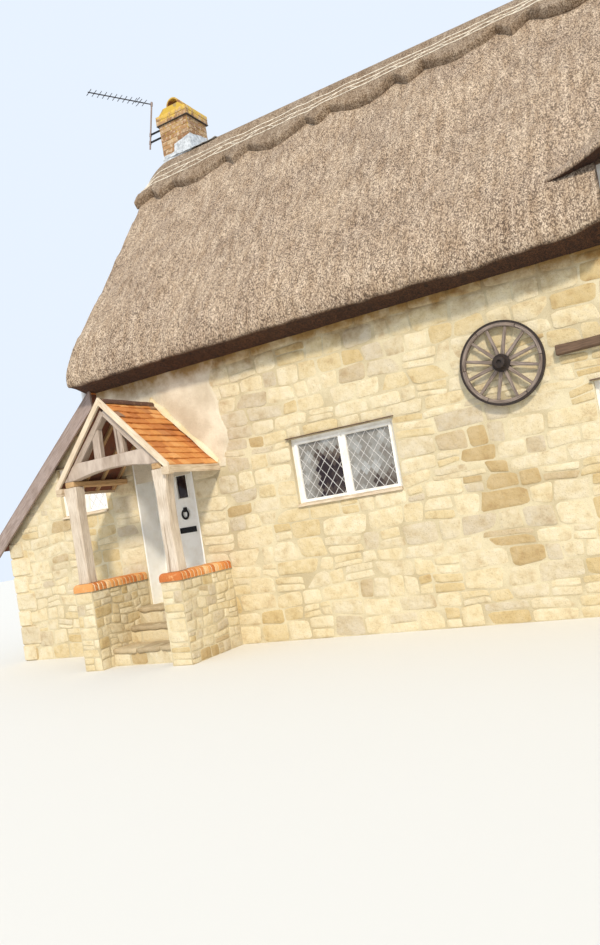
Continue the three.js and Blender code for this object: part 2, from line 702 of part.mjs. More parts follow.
// Wagon wheel hung on the wall by its hub.
function addWheel() {
  const { x, z, radius, rim, deep, out } = WHEEL;
  const facets = 28;
  const profile = [
    [radius - rim, -deep / 2],
    [radius, -deep / 2],
    [radius, deep / 2],
    [radius - rim, deep / 2],
    [radius - rim, -deep / 2],
  ].map(([a, b]) => new THREE.Vector2(a, b));
  const ring = new THREE.LatheGeometry(profile, facets).translate(0, out + deep / 2, 0);
  const hub = new THREE.CylinderGeometry(HUB.radius, HUB.nose, HUB.length, 14);
  hub.rotateX(Math.PI).translate(0, HUB.length / 2 + FIT, 0);
  const rods = spread(0, 2 * Math.PI, SPOKES.count)
    .slice(1)
    .map((angle) => {
      const reach = radius - rim / 2;
      const spoke = new THREE.BoxGeometry(SPOKES.wide, SPOKES.deep, reach - SPOKES.sunk);
      spoke.translate(0, out + deep / 2, (reach + SPOKES.sunk) / 2);
      return spoke.rotateY(angle);
    });
  const wheel = join(hub, ring, ...rods);
  wheel.rotateZ(Math.PI).translate(x, 0, z);
  piece("wagon_wheel", wheel, "darkWood");
}

function addWallTimber() {
  const { half, out, bottom, top } = WALL_TIMBER;
  piece("wall_timber", box(-half, half, -out, -FIT, bottom, top), "darkWood");
}

addLongWalls();
addGables();
addFloors();
addThatch();
addRidgeCap();
addChimneys();
addMast();
addBoom();
addWindows();
addDoor();
addDoorFurniture();
addDoorFrame();
addDwarfWall("porch_left", -1);
addDwarfWall("porch_right", 1);
addTruss();
addPorchRoof();
addSteps();
addLeanTo();
addPipe();
addWheel();
addWallTimber();
cottage.position.y = -MIDDLE;

export default cottage;
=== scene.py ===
# %% [markdown]
# # A thatched cottage, dressed
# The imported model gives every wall, roof and door as a plain solid in metres: X runs along the front from
# left to right, Y goes from the front into the house, Z is up, and the origin lies under its middle.
# This lesson dresses those solids: it lays stones on the walls, tiles on the small roofs, bricks on the
# chimneys and straw on the big roof, and gives each of them the surface of the real material.

import math

import bpy
import numpy as np
from mathutils import Matrix, Vector


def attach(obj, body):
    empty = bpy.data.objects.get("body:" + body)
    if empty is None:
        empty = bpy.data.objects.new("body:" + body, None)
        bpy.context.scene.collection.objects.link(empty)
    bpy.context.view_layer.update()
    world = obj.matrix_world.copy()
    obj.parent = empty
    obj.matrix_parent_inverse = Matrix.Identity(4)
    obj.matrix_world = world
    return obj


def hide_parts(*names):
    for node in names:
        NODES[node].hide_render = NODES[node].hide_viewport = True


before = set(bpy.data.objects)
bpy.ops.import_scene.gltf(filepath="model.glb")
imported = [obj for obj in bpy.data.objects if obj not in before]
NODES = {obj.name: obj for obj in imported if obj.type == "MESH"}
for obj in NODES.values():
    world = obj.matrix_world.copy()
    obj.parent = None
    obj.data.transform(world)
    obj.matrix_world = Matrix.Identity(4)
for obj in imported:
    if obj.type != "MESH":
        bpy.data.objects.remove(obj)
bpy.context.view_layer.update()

# %% [markdown]
# ## Where the camera stands
# The photograph was taken at eye height, 8.6 m before the front wall and close to the middle of the house,
# with the camera turned to the left and rolled by about nine degrees. The three rows below are the
# camera's own right, up and backward directions in the house's frame. They come from the vanishing points
# of the walls, so the picture's slanting lines are the same as in the photograph.

# %% Camera
HOUSE_DEEP = 4.8
RIDGE_IN = HOUSE_DEEP / 2
FACE = -RIDGE_IN
CAMERA_PLACE = (0.15, FACE - 8.6, 1.54)
CAMERA_RIGHT = (0.86020, 0.48335, -0.16259)
CAMERA_UP = (0.16840, 0.03170, 0.98521)
CAMERA_BACK = (0.48135, -0.87485, -0.05413)
LENS_MM, SENSOR_MM = 30.0, 36.0
SEES_TO = 400.0

camera_data = bpy.data.cameras.new("camera")
camera_data.sensor_width = SENSOR_MM
camera_data.lens = LENS_MM
camera_data.clip_end = SEES_TO
camera = bpy.data.objects.new("camera", camera_data)
turn = Matrix((CAMERA_RIGHT, CAMERA_UP, CAMERA_BACK)).transposed().to_4x4()
camera.matrix_world = Matrix.Translation(CAMERA_PLACE) @ turn
bpy.context.scene.collection.objects.link(camera)
bpy.context.scene.camera = camera
bpy.context.scene.view_settings.view_transform = "Standard"
print("camera at", CAMERA_PLACE, "with a lens of", LENS_MM, "mm")

# %% [markdown]
# ## Light
# A cottage front in the sun reads through the shadow under its eaves. One broad warm lamp high on the
# right stands for the sun, with edges soft enough for a studio, and a pale even sky fills the shadows.

# %% Light
SUN_FROM, SUN_STRENGTH, SUN_WIDE, SUN_COLOUR = (0.42, -0.72, 0.66), 2.8, math.radians(6), "#fff4e2"
SKY_STRENGTH, SKY_COLOUR = 1.10, "#dfe9f6"


def linear(colour):
    """A hex colour as linear red, green, blue and 1: each channel c is c / 12.92 up to 0.04045, and
    ((c + 0.055) / 1.055) to the power 2.4 above it."""
    values = [int(colour[i : i + 2], 16) / 255 for i in (1, 3, 5)]
    return tuple(c / 12.92 if c <= 0.04045 else ((c + 0.055) / 1.055) ** 2.4 for c in values) + (1.0,)


sun_data = bpy.data.lights.new("sun", "SUN")
sun_data.energy = SUN_STRENGTH
sun_data.angle = SUN_WIDE
sun_data.color = linear(SUN_COLOUR)[:3]
sun = bpy.data.objects.new("sun", sun_data)
sun.rotation_mode = "QUATERNION"
sun.rotation_quaternion = Vector(SUN_FROM).to_track_quat("Z", "Y")
bpy.context.scene.collection.objects.link(sun)

world = bpy.data.worlds.new("sky")
world.use_nodes = True
background = world.node_tree.nodes["Background"]
background.inputs["Color"].default_value = linear(SKY_COLOUR)
background.inputs["Strength"].default_value = SKY_STRENGTH
bpy.context.scene.world = world
print("sun from", SUN_FROM)

# %% [markdown]
# ## Helpers for meshes
# Nearly everything here is one of three things: a grid of points that bends into a sheet, a small shape
# that is repeated many times with its own place and size, or a section carried along a path. Each is
# worked out as whole arrays. A shape is kept as points, lists of faces, one tone for each point and one
# UV pair for each point, and one function turns it into an object.

# %% Shapes
def shape(points, faces, tone=0.5, uv=None):
    """Points (n, 3), face arrays (m, corners), tones and UV pairs of a closed body. Where the sum of
    p0 . (p1 x p2) over its triangles is negative, it is inside out and its faces are turned round."""
    points = np.asarray(points, float).reshape(-1, 3)
    faces = [np.asarray(f, np.int64) for f in faces if len(f)]
    volume = sum(
        np.einsum("ij,ij->", points[f[:, 0]], np.cross(points[f[:, i]], points[f[:, i + 1]]))
        for f in faces
        for i in range(1, f.shape[1] - 1)
    )
    faces = [f[:, ::-1] for f in faces] if volume < 0 else faces
    tone = np.array(np.broadcast_to(np.asarray(tone, float).ravel(), (len(points),)))
    uv = np.zeros((len(points), 2)) if uv is None else np.asarray(uv, float).reshape(-1, 2)
    return {"points": points, "faces": faces, "tone": tone, "uv": uv}


def gather(shapes):
    """Several shapes as one: points are stacked and each shape's face numbers moved on by those before."""
    starts = np.cumsum([0] + [len(s["points"]) for s in shapes])
    sizes = {}
    for one, start in zip(shapes, starts):
        for f in one["faces"]:
            sizes.setdefault(f.shape[1], []).append(f + start)
    joined = {key: np.concatenate([s[key] for s in shapes]) for key in ("points", "tone", "uv")}
    return {**joined, "faces": [np.concatenate(f) for f in sizes.values()]}


def half_turn(one):
    """The same shape on the other side of the house: x and y change sign."""
    return {**one, "points": one["points"] * np.array([-1.0, -1.0, 1.0])}


def put(name, one, material, body="house", replaces=(), crease=40):
    """An object from a shape, with its UV map and its tones, which the material reads."""
    corners = np.concatenate([f.ravel() for f in one["faces"]])
    sizes = np.concatenate([np.full(len(f), f.shape[1]) for f in one["faces"]])
    starts = np.concatenate([[0], np.cumsum(sizes)[:-1]])
    mesh = bpy.data.meshes.new(name)
    mesh.vertices.add(len(one["points"]))
    mesh.vertices.foreach_set("co", one["points"].astype(np.float32).ravel())
    mesh.loops.add(len(corners))
    mesh.loops.foreach_set("vertex_index", corners.astype(np.int32))
    mesh.polygons.add(len(sizes))
    mesh.polygons.foreach_set("loop_start", starts.astype(np.int32))
    layer = mesh.uv_layers.new(name="UVMap")
    layer.uv.foreach_set("vector", one["uv"].astype(np.float32)[corners].ravel())
    tones = mesh.attributes.new("tone", "FLOAT", "POINT")
    tones.data.foreach_set("value", one["tone"].astype(np.float32))
    mesh.update(calc_edges=True)
    mesh.validate()
    mesh.shade_smooth()
    mesh.set_sharp_from_angle(angle=math.radians(crease))
    mesh.materials.append(material)
    piece = bpy.data.objects.new(name, mesh)
    bpy.context.scene.collection.objects.link(piece)
    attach(piece, body)
    if replaces:
        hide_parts(*replaces)
    print(name, "has", len(one["points"]), "points and", int((sizes - 2).sum()), "triangles")


def coat(material, *names):
    """A material in place of the plain one on solids that stay as they are."""
    for name in names:
        NODES[name].data.materials.clear()
        NODES[name].data.materials.append(material)
    print(material.name, "on", *names)


# %% [markdown]
# The ways of making a shape follow: rings joined into a body, a sheet with a thickness, one template
# repeated, and a path with a section. The unevenness of straw and old stone is a sum of a few sine waves in
# random directions, which is smooth, quick to work out and the same on every run.

# %% Rings and sheets
def grid_faces(rows, columns, closed=True):
    """Quads between rows of points numbered row by row; closed joins the last column to the first."""
    i, j = np.meshgrid(np.arange(rows - 1), np.arange(columns - (not closed)), indexing="ij")
    after = (j + 1) % columns
    quads = [i * columns + j, i * columns + after, (i + 1) * columns + after, (i + 1) * columns + j]
    return np.stack(quads, -1).reshape(-1, 4)


def rings(points, tone=0.5, uv=None):
    """A body from rings (n, k, 3): each is joined to the next, and the first and last are filled."""
    n, k = points.shape[:2]
    ends = np.stack([np.arange(k)[::-1], np.arange(k) + (n - 1) * k])
    return shape(points, [grid_faces(n, k), ends], tone, uv)


def hoop(points):
    """A body like a hoop from sections (n, k, 3): each is joined to the next, and the last to the first."""
    n, k = points.shape[:2]
    return shape(points, [grid_faces(n + 1, k) % (n * k)])


def arched(points, tone):
    """A body from arches (n, k, 3), each an outer arc and back along an inner one. Quads between the two
    arcs close its ends."""
    n, k = points.shape[:2]
    i = np.arange(k // 2 - 1)
    end = np.column_stack([i, i + 1, k - 2 - i, k - 1 - i])
    return shape(points, [grid_faces(n, k), end[:, ::-1], end + (n - 1) * k], tone)


def sheet_faces(n, k):
    """Faces of two grids of n by k points, one over the other, with walls between them all round."""
    faces = grid_faces(n, k, False)
    near, far = np.arange(k), np.arange(n * k - 2, (n - 1) * k - 1, -1)
    rim = np.concatenate([near, np.arange(2 * k - 1, n * k, k), far, np.arange((n - 2) * k, 0, -k)])
    after = np.roll(rim, -1)
    return [faces, faces[:, ::-1] + n * k, np.column_stack([rim, rim + n * k, after + n * k, after])]


def sheet(top, low):
    """A body between two grids of points (n, k, 3)."""
    return shape(np.concatenate([top.reshape(-1, 3), low.reshape(-1, 3)]), sheet_faces(*top.shape[:2]))


# %% Copies
def repeated(faces, each, count):
    """Face arrays for count copies of a shape that has as many points as each says."""
    starts = each * np.arange(count)[:, None, None]
    return [(np.asarray(f) + starts).reshape(-1, np.shape(f)[1]) for f in faces]


def copies(template, faces, places, axes, sizes, tones):
    """Copies of one small shape: a point is its copy's place plus, for each of the copy's three axes, the
    template's number times the size times the axis."""
    count, each = len(places), len(template)
    local = np.broadcast_to(template, (count, each, 3)) * sizes[:, None]
    axes = np.broadcast_to(axes, (count, 3, 3))
    points = places[:, None] + np.einsum("nka,nab->nkb", local, axes)
    tones = np.repeat(tones, each)
    uv = local[..., :2].reshape(-1, 2) + 3.7 * tones[:, None]
    return shape(points, repeated(faces, each, count), tones, uv)


def block_template(edge):
    """A block of one unit with its long edges cut: two rings of eight corners and eight more set in by
    edge, a share of the unit. It runs from -0.5 to 0.5 on each axis."""
    h, c = 0.5, 0.5 - edge
    outer = np.array([(-h, -c), (-c, -h), (c, -h), (h, -c), (h, c), (c, h), (-c, h), (-h, c)])
    inner = np.array([(-c, -c), (-c, -c), (c, -c), (c, -c), (c, c), (c, c), (-c, c), (-c, c)])
    levels = [(inner, -h), (outer, -c), (outer, c), (inner, h)]
    points = np.concatenate([np.column_stack([ring, np.full(8, z)]) for ring, z in levels])
    return points, [grid_faces(4, 8), np.array([np.arange(8)[::-1], np.arange(8) + 24])]


# %% Paths
def run_of(line):
    """Distance along a line of points from its first one."""
    return np.concatenate([[0], np.cumsum(np.linalg.norm(np.diff(line, axis=0), axis=1))])


def unit(vectors):
    """Each vector over its own length."""
    return vectors / np.linalg.norm(vectors, axis=-1, keepdims=True)


def tube(path, radius, sides=10, tone=0.5):
    """A round rod: at each point of the path stands a circle of that radius, square to the path. Its first
    side is square to the path and to the axis that the path keeps away from most."""
    path = np.asarray(path, float)
    along = unit(np.gradient(path, axis=0))
    fixed = np.eye(3)[np.argmin(np.abs(along).sum(0))]
    side = unit(np.cross(along, fixed))
    other = np.cross(along, side)
    angles = np.linspace(0, 2 * np.pi, sides, endpoint=False)
    radius = np.broadcast_to(radius, (len(path),))[:, None, None]
    circle = side[:, None] * np.cos(angles)[None, :, None] + other[:, None] * np.sin(angles)[None, :, None]
    uv = np.stack(np.meshgrid(angles * radius[0, 0, 0], run_of(path)), -1)
    return rings(path[:, None] + radius * circle, tone, uv)


def lathe(profile, centre, axis, side, count=32, tone=0.5):
    """A turned body: the profile's (radius, distance) pairs are carried round the axis through centre.
    A point is centre + distance x axis + radius x (cos a x side + sin a x (axis x side))."""
    profile = np.asarray(profile, float)
    angles = np.linspace(0, 2 * np.pi, count, endpoint=False)
    out = np.cos(angles)[:, None] * side + np.sin(angles)[:, None] * np.cross(axis, side)
    points = np.asarray(centre) + profile[:, 1, None, None] * axis + profile[:, 0, None, None] * out[None]
    return rings(points, tone, np.stack(np.meshgrid(angles * profile[:, 0].max(), run_of(profile)), -1))


# %% Unevenness
def ripple(u, v, wavelength, seed, waves=8):
    """Smooth unevenness of about -1 to 1: the sum of sin(2 pi k (u cos a + v sin a) / wavelength + phase),
    each with its own angle a, phase and stretch k, over the square root of their number."""
    rng = np.random.default_rng(seed)
    angles, phases, stretches = rng.uniform([[0], [0], [0.6]], [[6.283], [6.283], [1.6]], (3, waves))
    total = 0.0
    for angle, phase, stretch in zip(angles, phases, stretches):
        run = u * np.cos(angle) + v * np.sin(angle)
        total = total + np.sin(2 * np.pi * stretch * run / wavelength + phase)
    return total / math.sqrt(waves)


def waver(x, wavelength, seed):
    """The same unevenness along one line."""
    return ripple(x, 0 * x, wavelength, seed)


def ease(t):
    """A smooth step from 0 to 1: t is cut to 0..1, and 3 t^2 - 2 t^3 taken."""
    t = np.clip(t, 0, 1)
    return t * t * (3 - 2 * t)


X, Y, Z = np.eye(3)
print("helpers ready")

# %% [markdown]
# ## A helper for materials
# A material is a small graph of nodes that ends in one shader. One function adds a node, sets its options,
# joins its inputs and gives back an output, so that each material below reads like a recipe. Sizes of
# patterns come from real millimetres: a noise of scale s has lumps of about 1 / s metres.

# %% Nodes
MULTIPLY = {"data_type": "RGBA", "blend_type": "MULTIPLY"}
BLEND = {"data_type": "RGBA", "blend_type": "MIX"}


def add(tree, kind, inputs=None, out=0, stops=(), **settings):
    """One node of the kind named and its output: settings are its options, inputs gives sockets a value or
    another node's output, and stops are (place, hex colour) pairs along a colour ramp."""
    node = tree.nodes.new("ShaderNode" + kind)
    for key, value in settings.items():
        setattr(node, key, value)
    for key, value in (inputs or {}).items():
        if isinstance(value, bpy.types.NodeSocket):
            tree.links.new(value, node.inputs[key])
        else:
            node.inputs[key].default_value = value
    for i, (place, colour) in enumerate(stops):
        element = node.color_ramp.elements[i] if i < 2 else node.color_ramp.elements.new(place)
        element.position = place
        element.color = linear(colour)
    return node.outputs[out]


def begin(name, roughness, **values):
    """A new material and its node tree, with the values that are the same all over the surface."""
    material = bpy.data.materials.new(name)
    material.use_nodes = True
    shader = material.node_tree.nodes["Principled BSDF"]
    for key, value in {"Roughness": roughness, **values}.items():
        shader.inputs[key.replace("_", " ")].default_value = value
    return material, material.node_tree


def tinted(tree, colour, share, pattern, *stops):
    """A colour multiplied, as far as share goes, by the ramp colour that a pattern picks."""
    picked = add(tree, "ValToRGB", {"Fac": pattern}, stops=stops)
    return add(tree, "Mix", {0: share, 6: colour, 7: picked}, 2, **MULTIPLY)


def finished(material, colour, *relief):
    """The material with its colour and its relief joined to the shader: relief is (pattern, depth in metres)
    pairs, the coarsest first, and each finer bump lies on the one before."""
    tree = material.node_tree
    shader = tree.nodes["Principled BSDF"]
    tree.links.new(colour, shader.inputs["Base Color"])
    under = {}
    for pattern, depth in relief:
        under = {"Normal": add(tree, "Bump", {"Height": pattern, "Distance": depth, **under})}
    tree.links.new(under["Normal"], shader.inputs["Normal"])
    return material


def by_tone(tree):
    """Object coordinates moved by each stone's or board's tone, so that no two share a pattern."""
    here = add(tree, "TexCoord", out="Object")
    tone = add(tree, "Attribute", out="Fac", attribute_name="tone")
    away = add(tree, "Math", {0: tone, 1: 37.0}, operation="MULTIPLY")
    return add(tree, "VectorMath", {0: here, 1: away}, operation="ADD"), tone


def per(size_mm):
    """Lumps for each metre when one is size_mm across."""
    return 1000 / size_mm


# %% [markdown]
# ## Stone, mortar and render
# The walls are cream limestone rubble: soft, pitted, stained ochre where iron has come out of it, and
# greyer where rain runs. Each stone's tone picks its place on a ramp from ochre to pale cream, blotches of
# 140 mm stain it, and pits of 11 mm roughen it. Lime mortar is greyer and sandy. Its grains of 2 mm would
# vanish in the picture, so they are drawn at 7 mm. The top of both is darkened brown under the eave, partly
# as a water stain from the straw and partly as painted shade.

# %% Masonry
def under_eave(tree, colour):
    """Darkens the top 0.2 m of the two long walls brown, to a ragged edge: partly a water stain from the
    straw, partly painted shade under the eave.
    """
    here = add(tree, "TexCoord", out="Object")
    ragged = add(tree, "TexNoise", {"Vector": here, "Scale": per(260), "Detail": 4, "Roughness": 0.6})
    place = add(tree, "SeparateXYZ", {"Vector": here}, "Z")
    level = add(tree, "Math", {0: ragged, 1: 0.5, 2: place}, operation="MULTIPLY_ADD")
    share = add(tree, "MapRange", {"Value": level, "From Min": 3.70, "From Max": 4.25})
    # Painted shade: the brown stops darken the top of the wall under the eave, together with a water stain.
    stain_and_shade = tinted(tree, colour, 1.0, share, (0.15, "#ffffff"), (0.55, "#b09468"), (0.75, "#8f7653"),
                   (0.95, "#ffffff"))
    depth = add(tree, "Math", {0: add(tree, "SeparateXYZ", {"Vector": here}, "Y")}, operation="ABSOLUTE")
    outside = add(tree, "Math", {0: depth, 1: RIDGE_IN - 0.015}, operation="GREATER_THAN")
    return add(tree, "Mix", {0: outside, 6: colour, 7: stain_and_shade}, 2, **BLEND)


def limestone(name, body, stain, pit_mm=11, pit_depth=0.005):
    """Split and weathered limestone: matt, blotched, pitted."""
    material, tree = begin(name, 0.92)
    here, tone = by_tone(tree)
    blotch = add(tree, "TexNoise", {"Vector": here, "Scale": per(140), "Detail": 5, "Roughness": 0.6})
    pits = add(tree, "TexNoise", {"Vector": here, "Scale": per(pit_mm), "Detail": 6, "Roughness": 0.7})
    lumps = add(tree, "TexNoise", {"Vector": here, "Scale": per(48), "Detail": 4})
    base = add(tree, "ValToRGB", {"Fac": tone}, stops=body)
    colour = tinted(tree, base, 0.6, blotch, *stain)
    colour = tinted(tree, colour, 0.6, pits, (0.30, "#8d7450"), (0.45, "#ffffff"))
    return finished(material, under_eave(tree, colour), (lumps, 0.012), (pits, pit_depth))


def mortar(name, body, damp):
    """Lime and sand laid with a trowel: matt, patchy where damp, dragged in lumps of 60 mm."""
    material, tree = begin(name, 0.95)
    here = add(tree, "TexCoord", out="Object")
    patches = add(tree, "TexNoise", {"Vector": here, "Scale": per(420), "Detail": 4})
    grain = add(tree, "TexNoise", {"Vector": here, "Scale": per(7), "Detail": 3, "Roughness": 0.7})
    drag = add(tree, "TexNoise", {"Vector": here, "Scale": per(60), "Detail": 4})
    colour = add(tree, "ValToRGB", {"Fac": patches}, stops=[(0.36, damp), (0.6, body)])
    colour = tinted(tree, colour, 0.45, grain, (0.3, "#a08d68"), (0.5, "#ffffff"))
    return finished(material, under_eave(tree, colour), (drag, 0.006), (grain, 0.002))


CREAM = [(0.0, "#cebb91"), (0.22, "#d9cba8"), (0.5, "#e3d9be"), (0.72, "#dad0b6"), (0.88, "#cbc1ad"),
         (1.0, "#c0ab83")]
LIMESTONE = limestone("limestone_rubble_weathered", CREAM,
                      [(0.38, "#fffaf2"), (0.56, "#f0e4c8"), (0.72, "#c8aa7a")])
SLAB = limestone("sandstone_step_worn", [(0.0, "#a89a80"), (1.0, "#cabda0")],
                 [(0.35, "#fff4e6"), (0.6, "#e4d4bb"), (0.75, "#ae9778")], 9, 0.004)
MORTAR = mortar("lime_mortar_sandy", "#d9cdac", "#bfb08e")
RENDER = mortar("lime_render_grey", "#e6dcc6", "#cabda5")
FILLET = mortar("cement_fillet_cream", "#efe6cc", "#d8c79c")
print("masonry is ready")

# %% [markdown]
# ## Straw
# Thatch is bundles of straw laid down the slope, and what shows is their cut ends: millions of short dark
# and pale flecks, drawn out a little down the slope. The roof sheet carries a UV map in metres (along the
# roof, down the slope), so the flecks follow it round the eave. A straw of 5 mm would vanish in the
# picture, so small tufts are drawn, cells of 11 by 18 mm that each have a tone of their own, with the dark
# between them. Combed streaks of 95 by 475 mm and patches of 900 mm give the mottling of damp and wind, and
# the bump is deep because straw throws its own small shadows. The tone attribute carries painted shade: it
# darkens the straw to brown on the underside of the eave, at the foot of its nose, on the cut face over the
# upper window, on the eyebrow's lip and underside and along the ridge cap's edge.

# %% Straw
def straw(name, light, middle, dark, mauve, tuft_mm=11, depth=0.012):
    """Weathered straw dressed to a slope: quite matt, flecked, brown to grey with mauve patches."""
    material, tree = begin(name, 0.96)
    where = add(tree, "TexCoord", out="UV")
    swirl = add(tree, "TexNoise", {"Vector": where, "Scale": per(240), "Detail": 2}, "Color")
    swirl = add(tree, "VectorMath", {0: swirl, 1: (0.07, 0.05, 0.0)}, operation="MULTIPLY")
    bent = add(tree, "VectorMath", {0: where, 1: swirl}, operation="ADD")
    drawn = add(tree, "Mapping", {"Vector": bent, "Scale": (1.0, 0.60, 1.0)})
    combed = add(tree, "Mapping", {"Vector": bent, "Scale": (1.0, 0.20, 1.0)})
    tuft = add(tree, "TexVoronoi", {"Vector": drawn, "Scale": per(tuft_mm)}, "Color")
    between = add(tree, "TexVoronoi", {"Vector": drawn, "Scale": per(tuft_mm)}, "Distance")
    fleck_scale = per(tuft_mm * 0.85)
    fleck = add(tree, "TexNoise", {"Vector": drawn, "Scale": fleck_scale, "Detail": 2, "Roughness": 0.7})
    band = add(tree, "TexNoise", {"Vector": combed, "Scale": per(95), "Detail": 5, "Roughness": 0.65})
    patch = add(tree, "TexNoise", {"Vector": where, "Scale": per(900), "Detail": 4, "Roughness": 0.6})
    ends = add(tree, "Mix", {0: 0.5, 6: tuft, 7: fleck}, 2, **BLEND)
    colour = add(tree, "ValToRGB", {"Fac": ends}, stops=[(0.36, dark), (0.60, light), (0.47, middle)])
    grey = add(tree, "ValToRGB", {"Fac": patch}, stops=[(0.38, mauve), (0.62, light)])
    colour = add(tree, "Mix", {0: 0.22, 6: colour, 7: grey}, 2, **BLEND)
    colour = tinted(tree, colour, 0.6, between, (0.45, "#ffffff"), (0.85, "#7d6a56"))
    colour = tinted(tree, colour, 0.6, band, (0.36, "#b5a28a"), (0.62, "#ffffff"))
    # Painted shade: where the tone falls from 0.75 to 0 the straw is darkened towards dark brown.
    tone = add(tree, "Attribute", out="Fac", attribute_name="tone")
    colour = tinted(tree, colour, 1.0, tone, (0.0, "#6b4c36"), (0.75, "#ffffff"))
    return finished(material, colour, (band, depth * 1.5), (fleck, depth))


def strands(name, pale, deep):
    """Single straws and split hazel rods: each takes its own place between a deep and a pale colour."""
    material, tree = begin(name, 0.85)
    here, tone = by_tone(tree)
    bark = add(tree, "TexNoise", {"Vector": here, "Scale": per(35), "Detail": 3})
    colour = add(tree, "ValToRGB", {"Fac": tone}, stops=[(0.0, deep), (1.0, pale)])
    colour = tinted(tree, colour, 0.7, bark, (0.3, "#9a8f86"), (0.6, "#ffffff"))
    return finished(material, colour, (bark, 0.002))


THATCH = straw("long_straw_thatch_weathered", "#e5d0b6", "#aa947d", "#554436", "#a08e80")
RIDGE_STRAW = straw("sedge_ridge_weathered", "#bfae99", "#97826b", "#5f4f42", "#a5855c", 10, 0.010)
HAZEL = strands("hazel_rod_split", "#fff6e4", "#d8c9b2")
print("straw is ready")

# %% [markdown]
# ## Fired clay
# Chimney bricks are old stocks: brown, flecked pale where the skin has gone, with yellow lichen on the
# upper courses that face the light. The porch tiles are handmade plain tiles, orange with a few greyed by
# weather, sandy and not quite flat. The bricks on edge that cap the low walls are a brighter orange with
# a worn, slightly smoother arris.

# %% Bricks and tiles
def lichened(tree, colour, from_z, lichen):
    """Lichen on what lies above from_z: noise times height passes a limit."""
    here = add(tree, "TexCoord", out="Object")
    height = add(tree, "SeparateXYZ", {"Vector": here}, "Z")
    above = add(tree, "MapRange", {"Value": height, "From Min": from_z, "From Max": from_z + 0.55})
    spots = add(tree, "TexNoise", {"Vector": here, "Scale": per(150), "Detail": 6, "Roughness": 0.7})
    both = add(tree, "Math", {0: above, 1: spots}, operation="MULTIPLY")
    share = add(tree, "ValToRGB", {"Fac": both}, stops=[(0.36, "#000000"), (0.46, "#ffffff")])
    return add(tree, "Mix", {0: share, 6: colour, 7: linear(lichen)}, 2, **BLEND)


def gritty(name, body, roughness, bloom, bloom_share=0.4, grit_mm=6, lichen=()):
    """Fired clay or cement by tone, with grit and a bloom of weather: where noise passes a limit, the bloom
    colour. Lichen is the height where it starts and its colour."""
    material, tree = begin(name, roughness)
    here, tone = by_tone(tree)
    weather = add(tree, "TexNoise", {"Vector": here, "Scale": per(70), "Detail": 5, "Roughness": 0.65})
    grit = add(tree, "TexNoise", {"Vector": here, "Scale": per(grit_mm), "Detail": 3})
    colour = add(tree, "ValToRGB", {"Fac": tone}, stops=body)
    limit = 1 - bloom_share
    stops = [(limit - 0.06, "#000000"), (limit + 0.08, "#ffffff")]
    share = add(tree, "ValToRGB", {"Fac": weather}, stops=stops)
    colour = add(tree, "Mix", {0: share, 6: colour, 7: linear(bloom)}, 2, **BLEND)
    colour = tinted(tree, colour, 0.5, grit, (0.3, "#93806e"), (0.55, "#ffffff"))
    colour = lichened(tree, colour, *lichen) if lichen else colour
    return finished(material, colour, (weather, 0.0045), (grit, 0.0015))


STOCKS = [(0.0, "#8a6647"), (0.3, "#a67c55"), (0.55, "#b69064"), (0.8, "#96755a"), (1.0, "#c6a67c")]
TILES = [(0.0, "#ad642c"), (0.25, "#cb813f"), (0.5, "#d9954e"), (0.72, "#e8ad6b"), (0.88, "#c07c45"),
         (0.95, "#a3886c"), (1.0, "#946e54")]
COPINGS = [(0.0, "#c26d30"), (0.5, "#d58a47"), (0.8, "#e3a663"), (1.0, "#ecc08a")]
BRICK = gritty("stock_brick_weathered", STOCKS, 0.9, "#c9b294", 0.46, 9, (8.2, "#d0ad52"))
FLAUNCHING = gritty("flaunching_lichened", [(0.0, "#a08c69"), (1.0, "#b5a27c")], 0.95, "#8f7c5c",
                    lichen=(7.9, "#c9a845"))
CAP_TILE = gritty("half_round_tile_lichened", [(0.0, "#8a5a3e"), (1.0, "#9c6a4a")], 0.9, "#b59a70",
                  lichen=(8.5, "#c9a850"))
CLAY_TILE = gritty("plain_tile_handmade", TILES, 0.82, "#c98f5e", 0.36)
COPING_BRICK = gritty("coping_brick_orange", COPINGS, 0.75, "#e3ac72")
# Painted shade: the ridge tiles' dark brown stands in for the shade they lie in.
RIDGE_TILE = gritty("ridge_tile_painted_shade", [(0.0, "#54392c"), (1.0, "#6b4a38")], 0.9, "#8a6a4c")
# Partly a slate drip course, partly painted shadow: a dark line under the chimney's projecting band.
SLATE_AND_SHADOW = gritty("slate_drip_and_painted_shadow", [(0.0, "#3b3430"), (1.0, "#4a423c")], 0.8, "#5c5248")
# Painted shade: the tiles' backs are darker red-brown than the tiles, as they look in the shade under the
# roof.
UNDER_TILE = gritty("tile_backs_painted_shade", [(0.0, "#6d4030"), (1.0, "#8a5740")], 0.9, "#5f483c")
print("fired clay is ready")

# %% [markdown]
# ## Wood
# Oak left outdoors goes silver: the soft early wood wears away and leaves fine ridges along the grain.
# Each timber has a UV map in metres, across and along, so the grain runs with the piece whichever way it
# leans. Rings 9 mm apart are drawn by stretching noise twenty times along the timber, and a coarser,
# darker layer gives the long drying cracks.

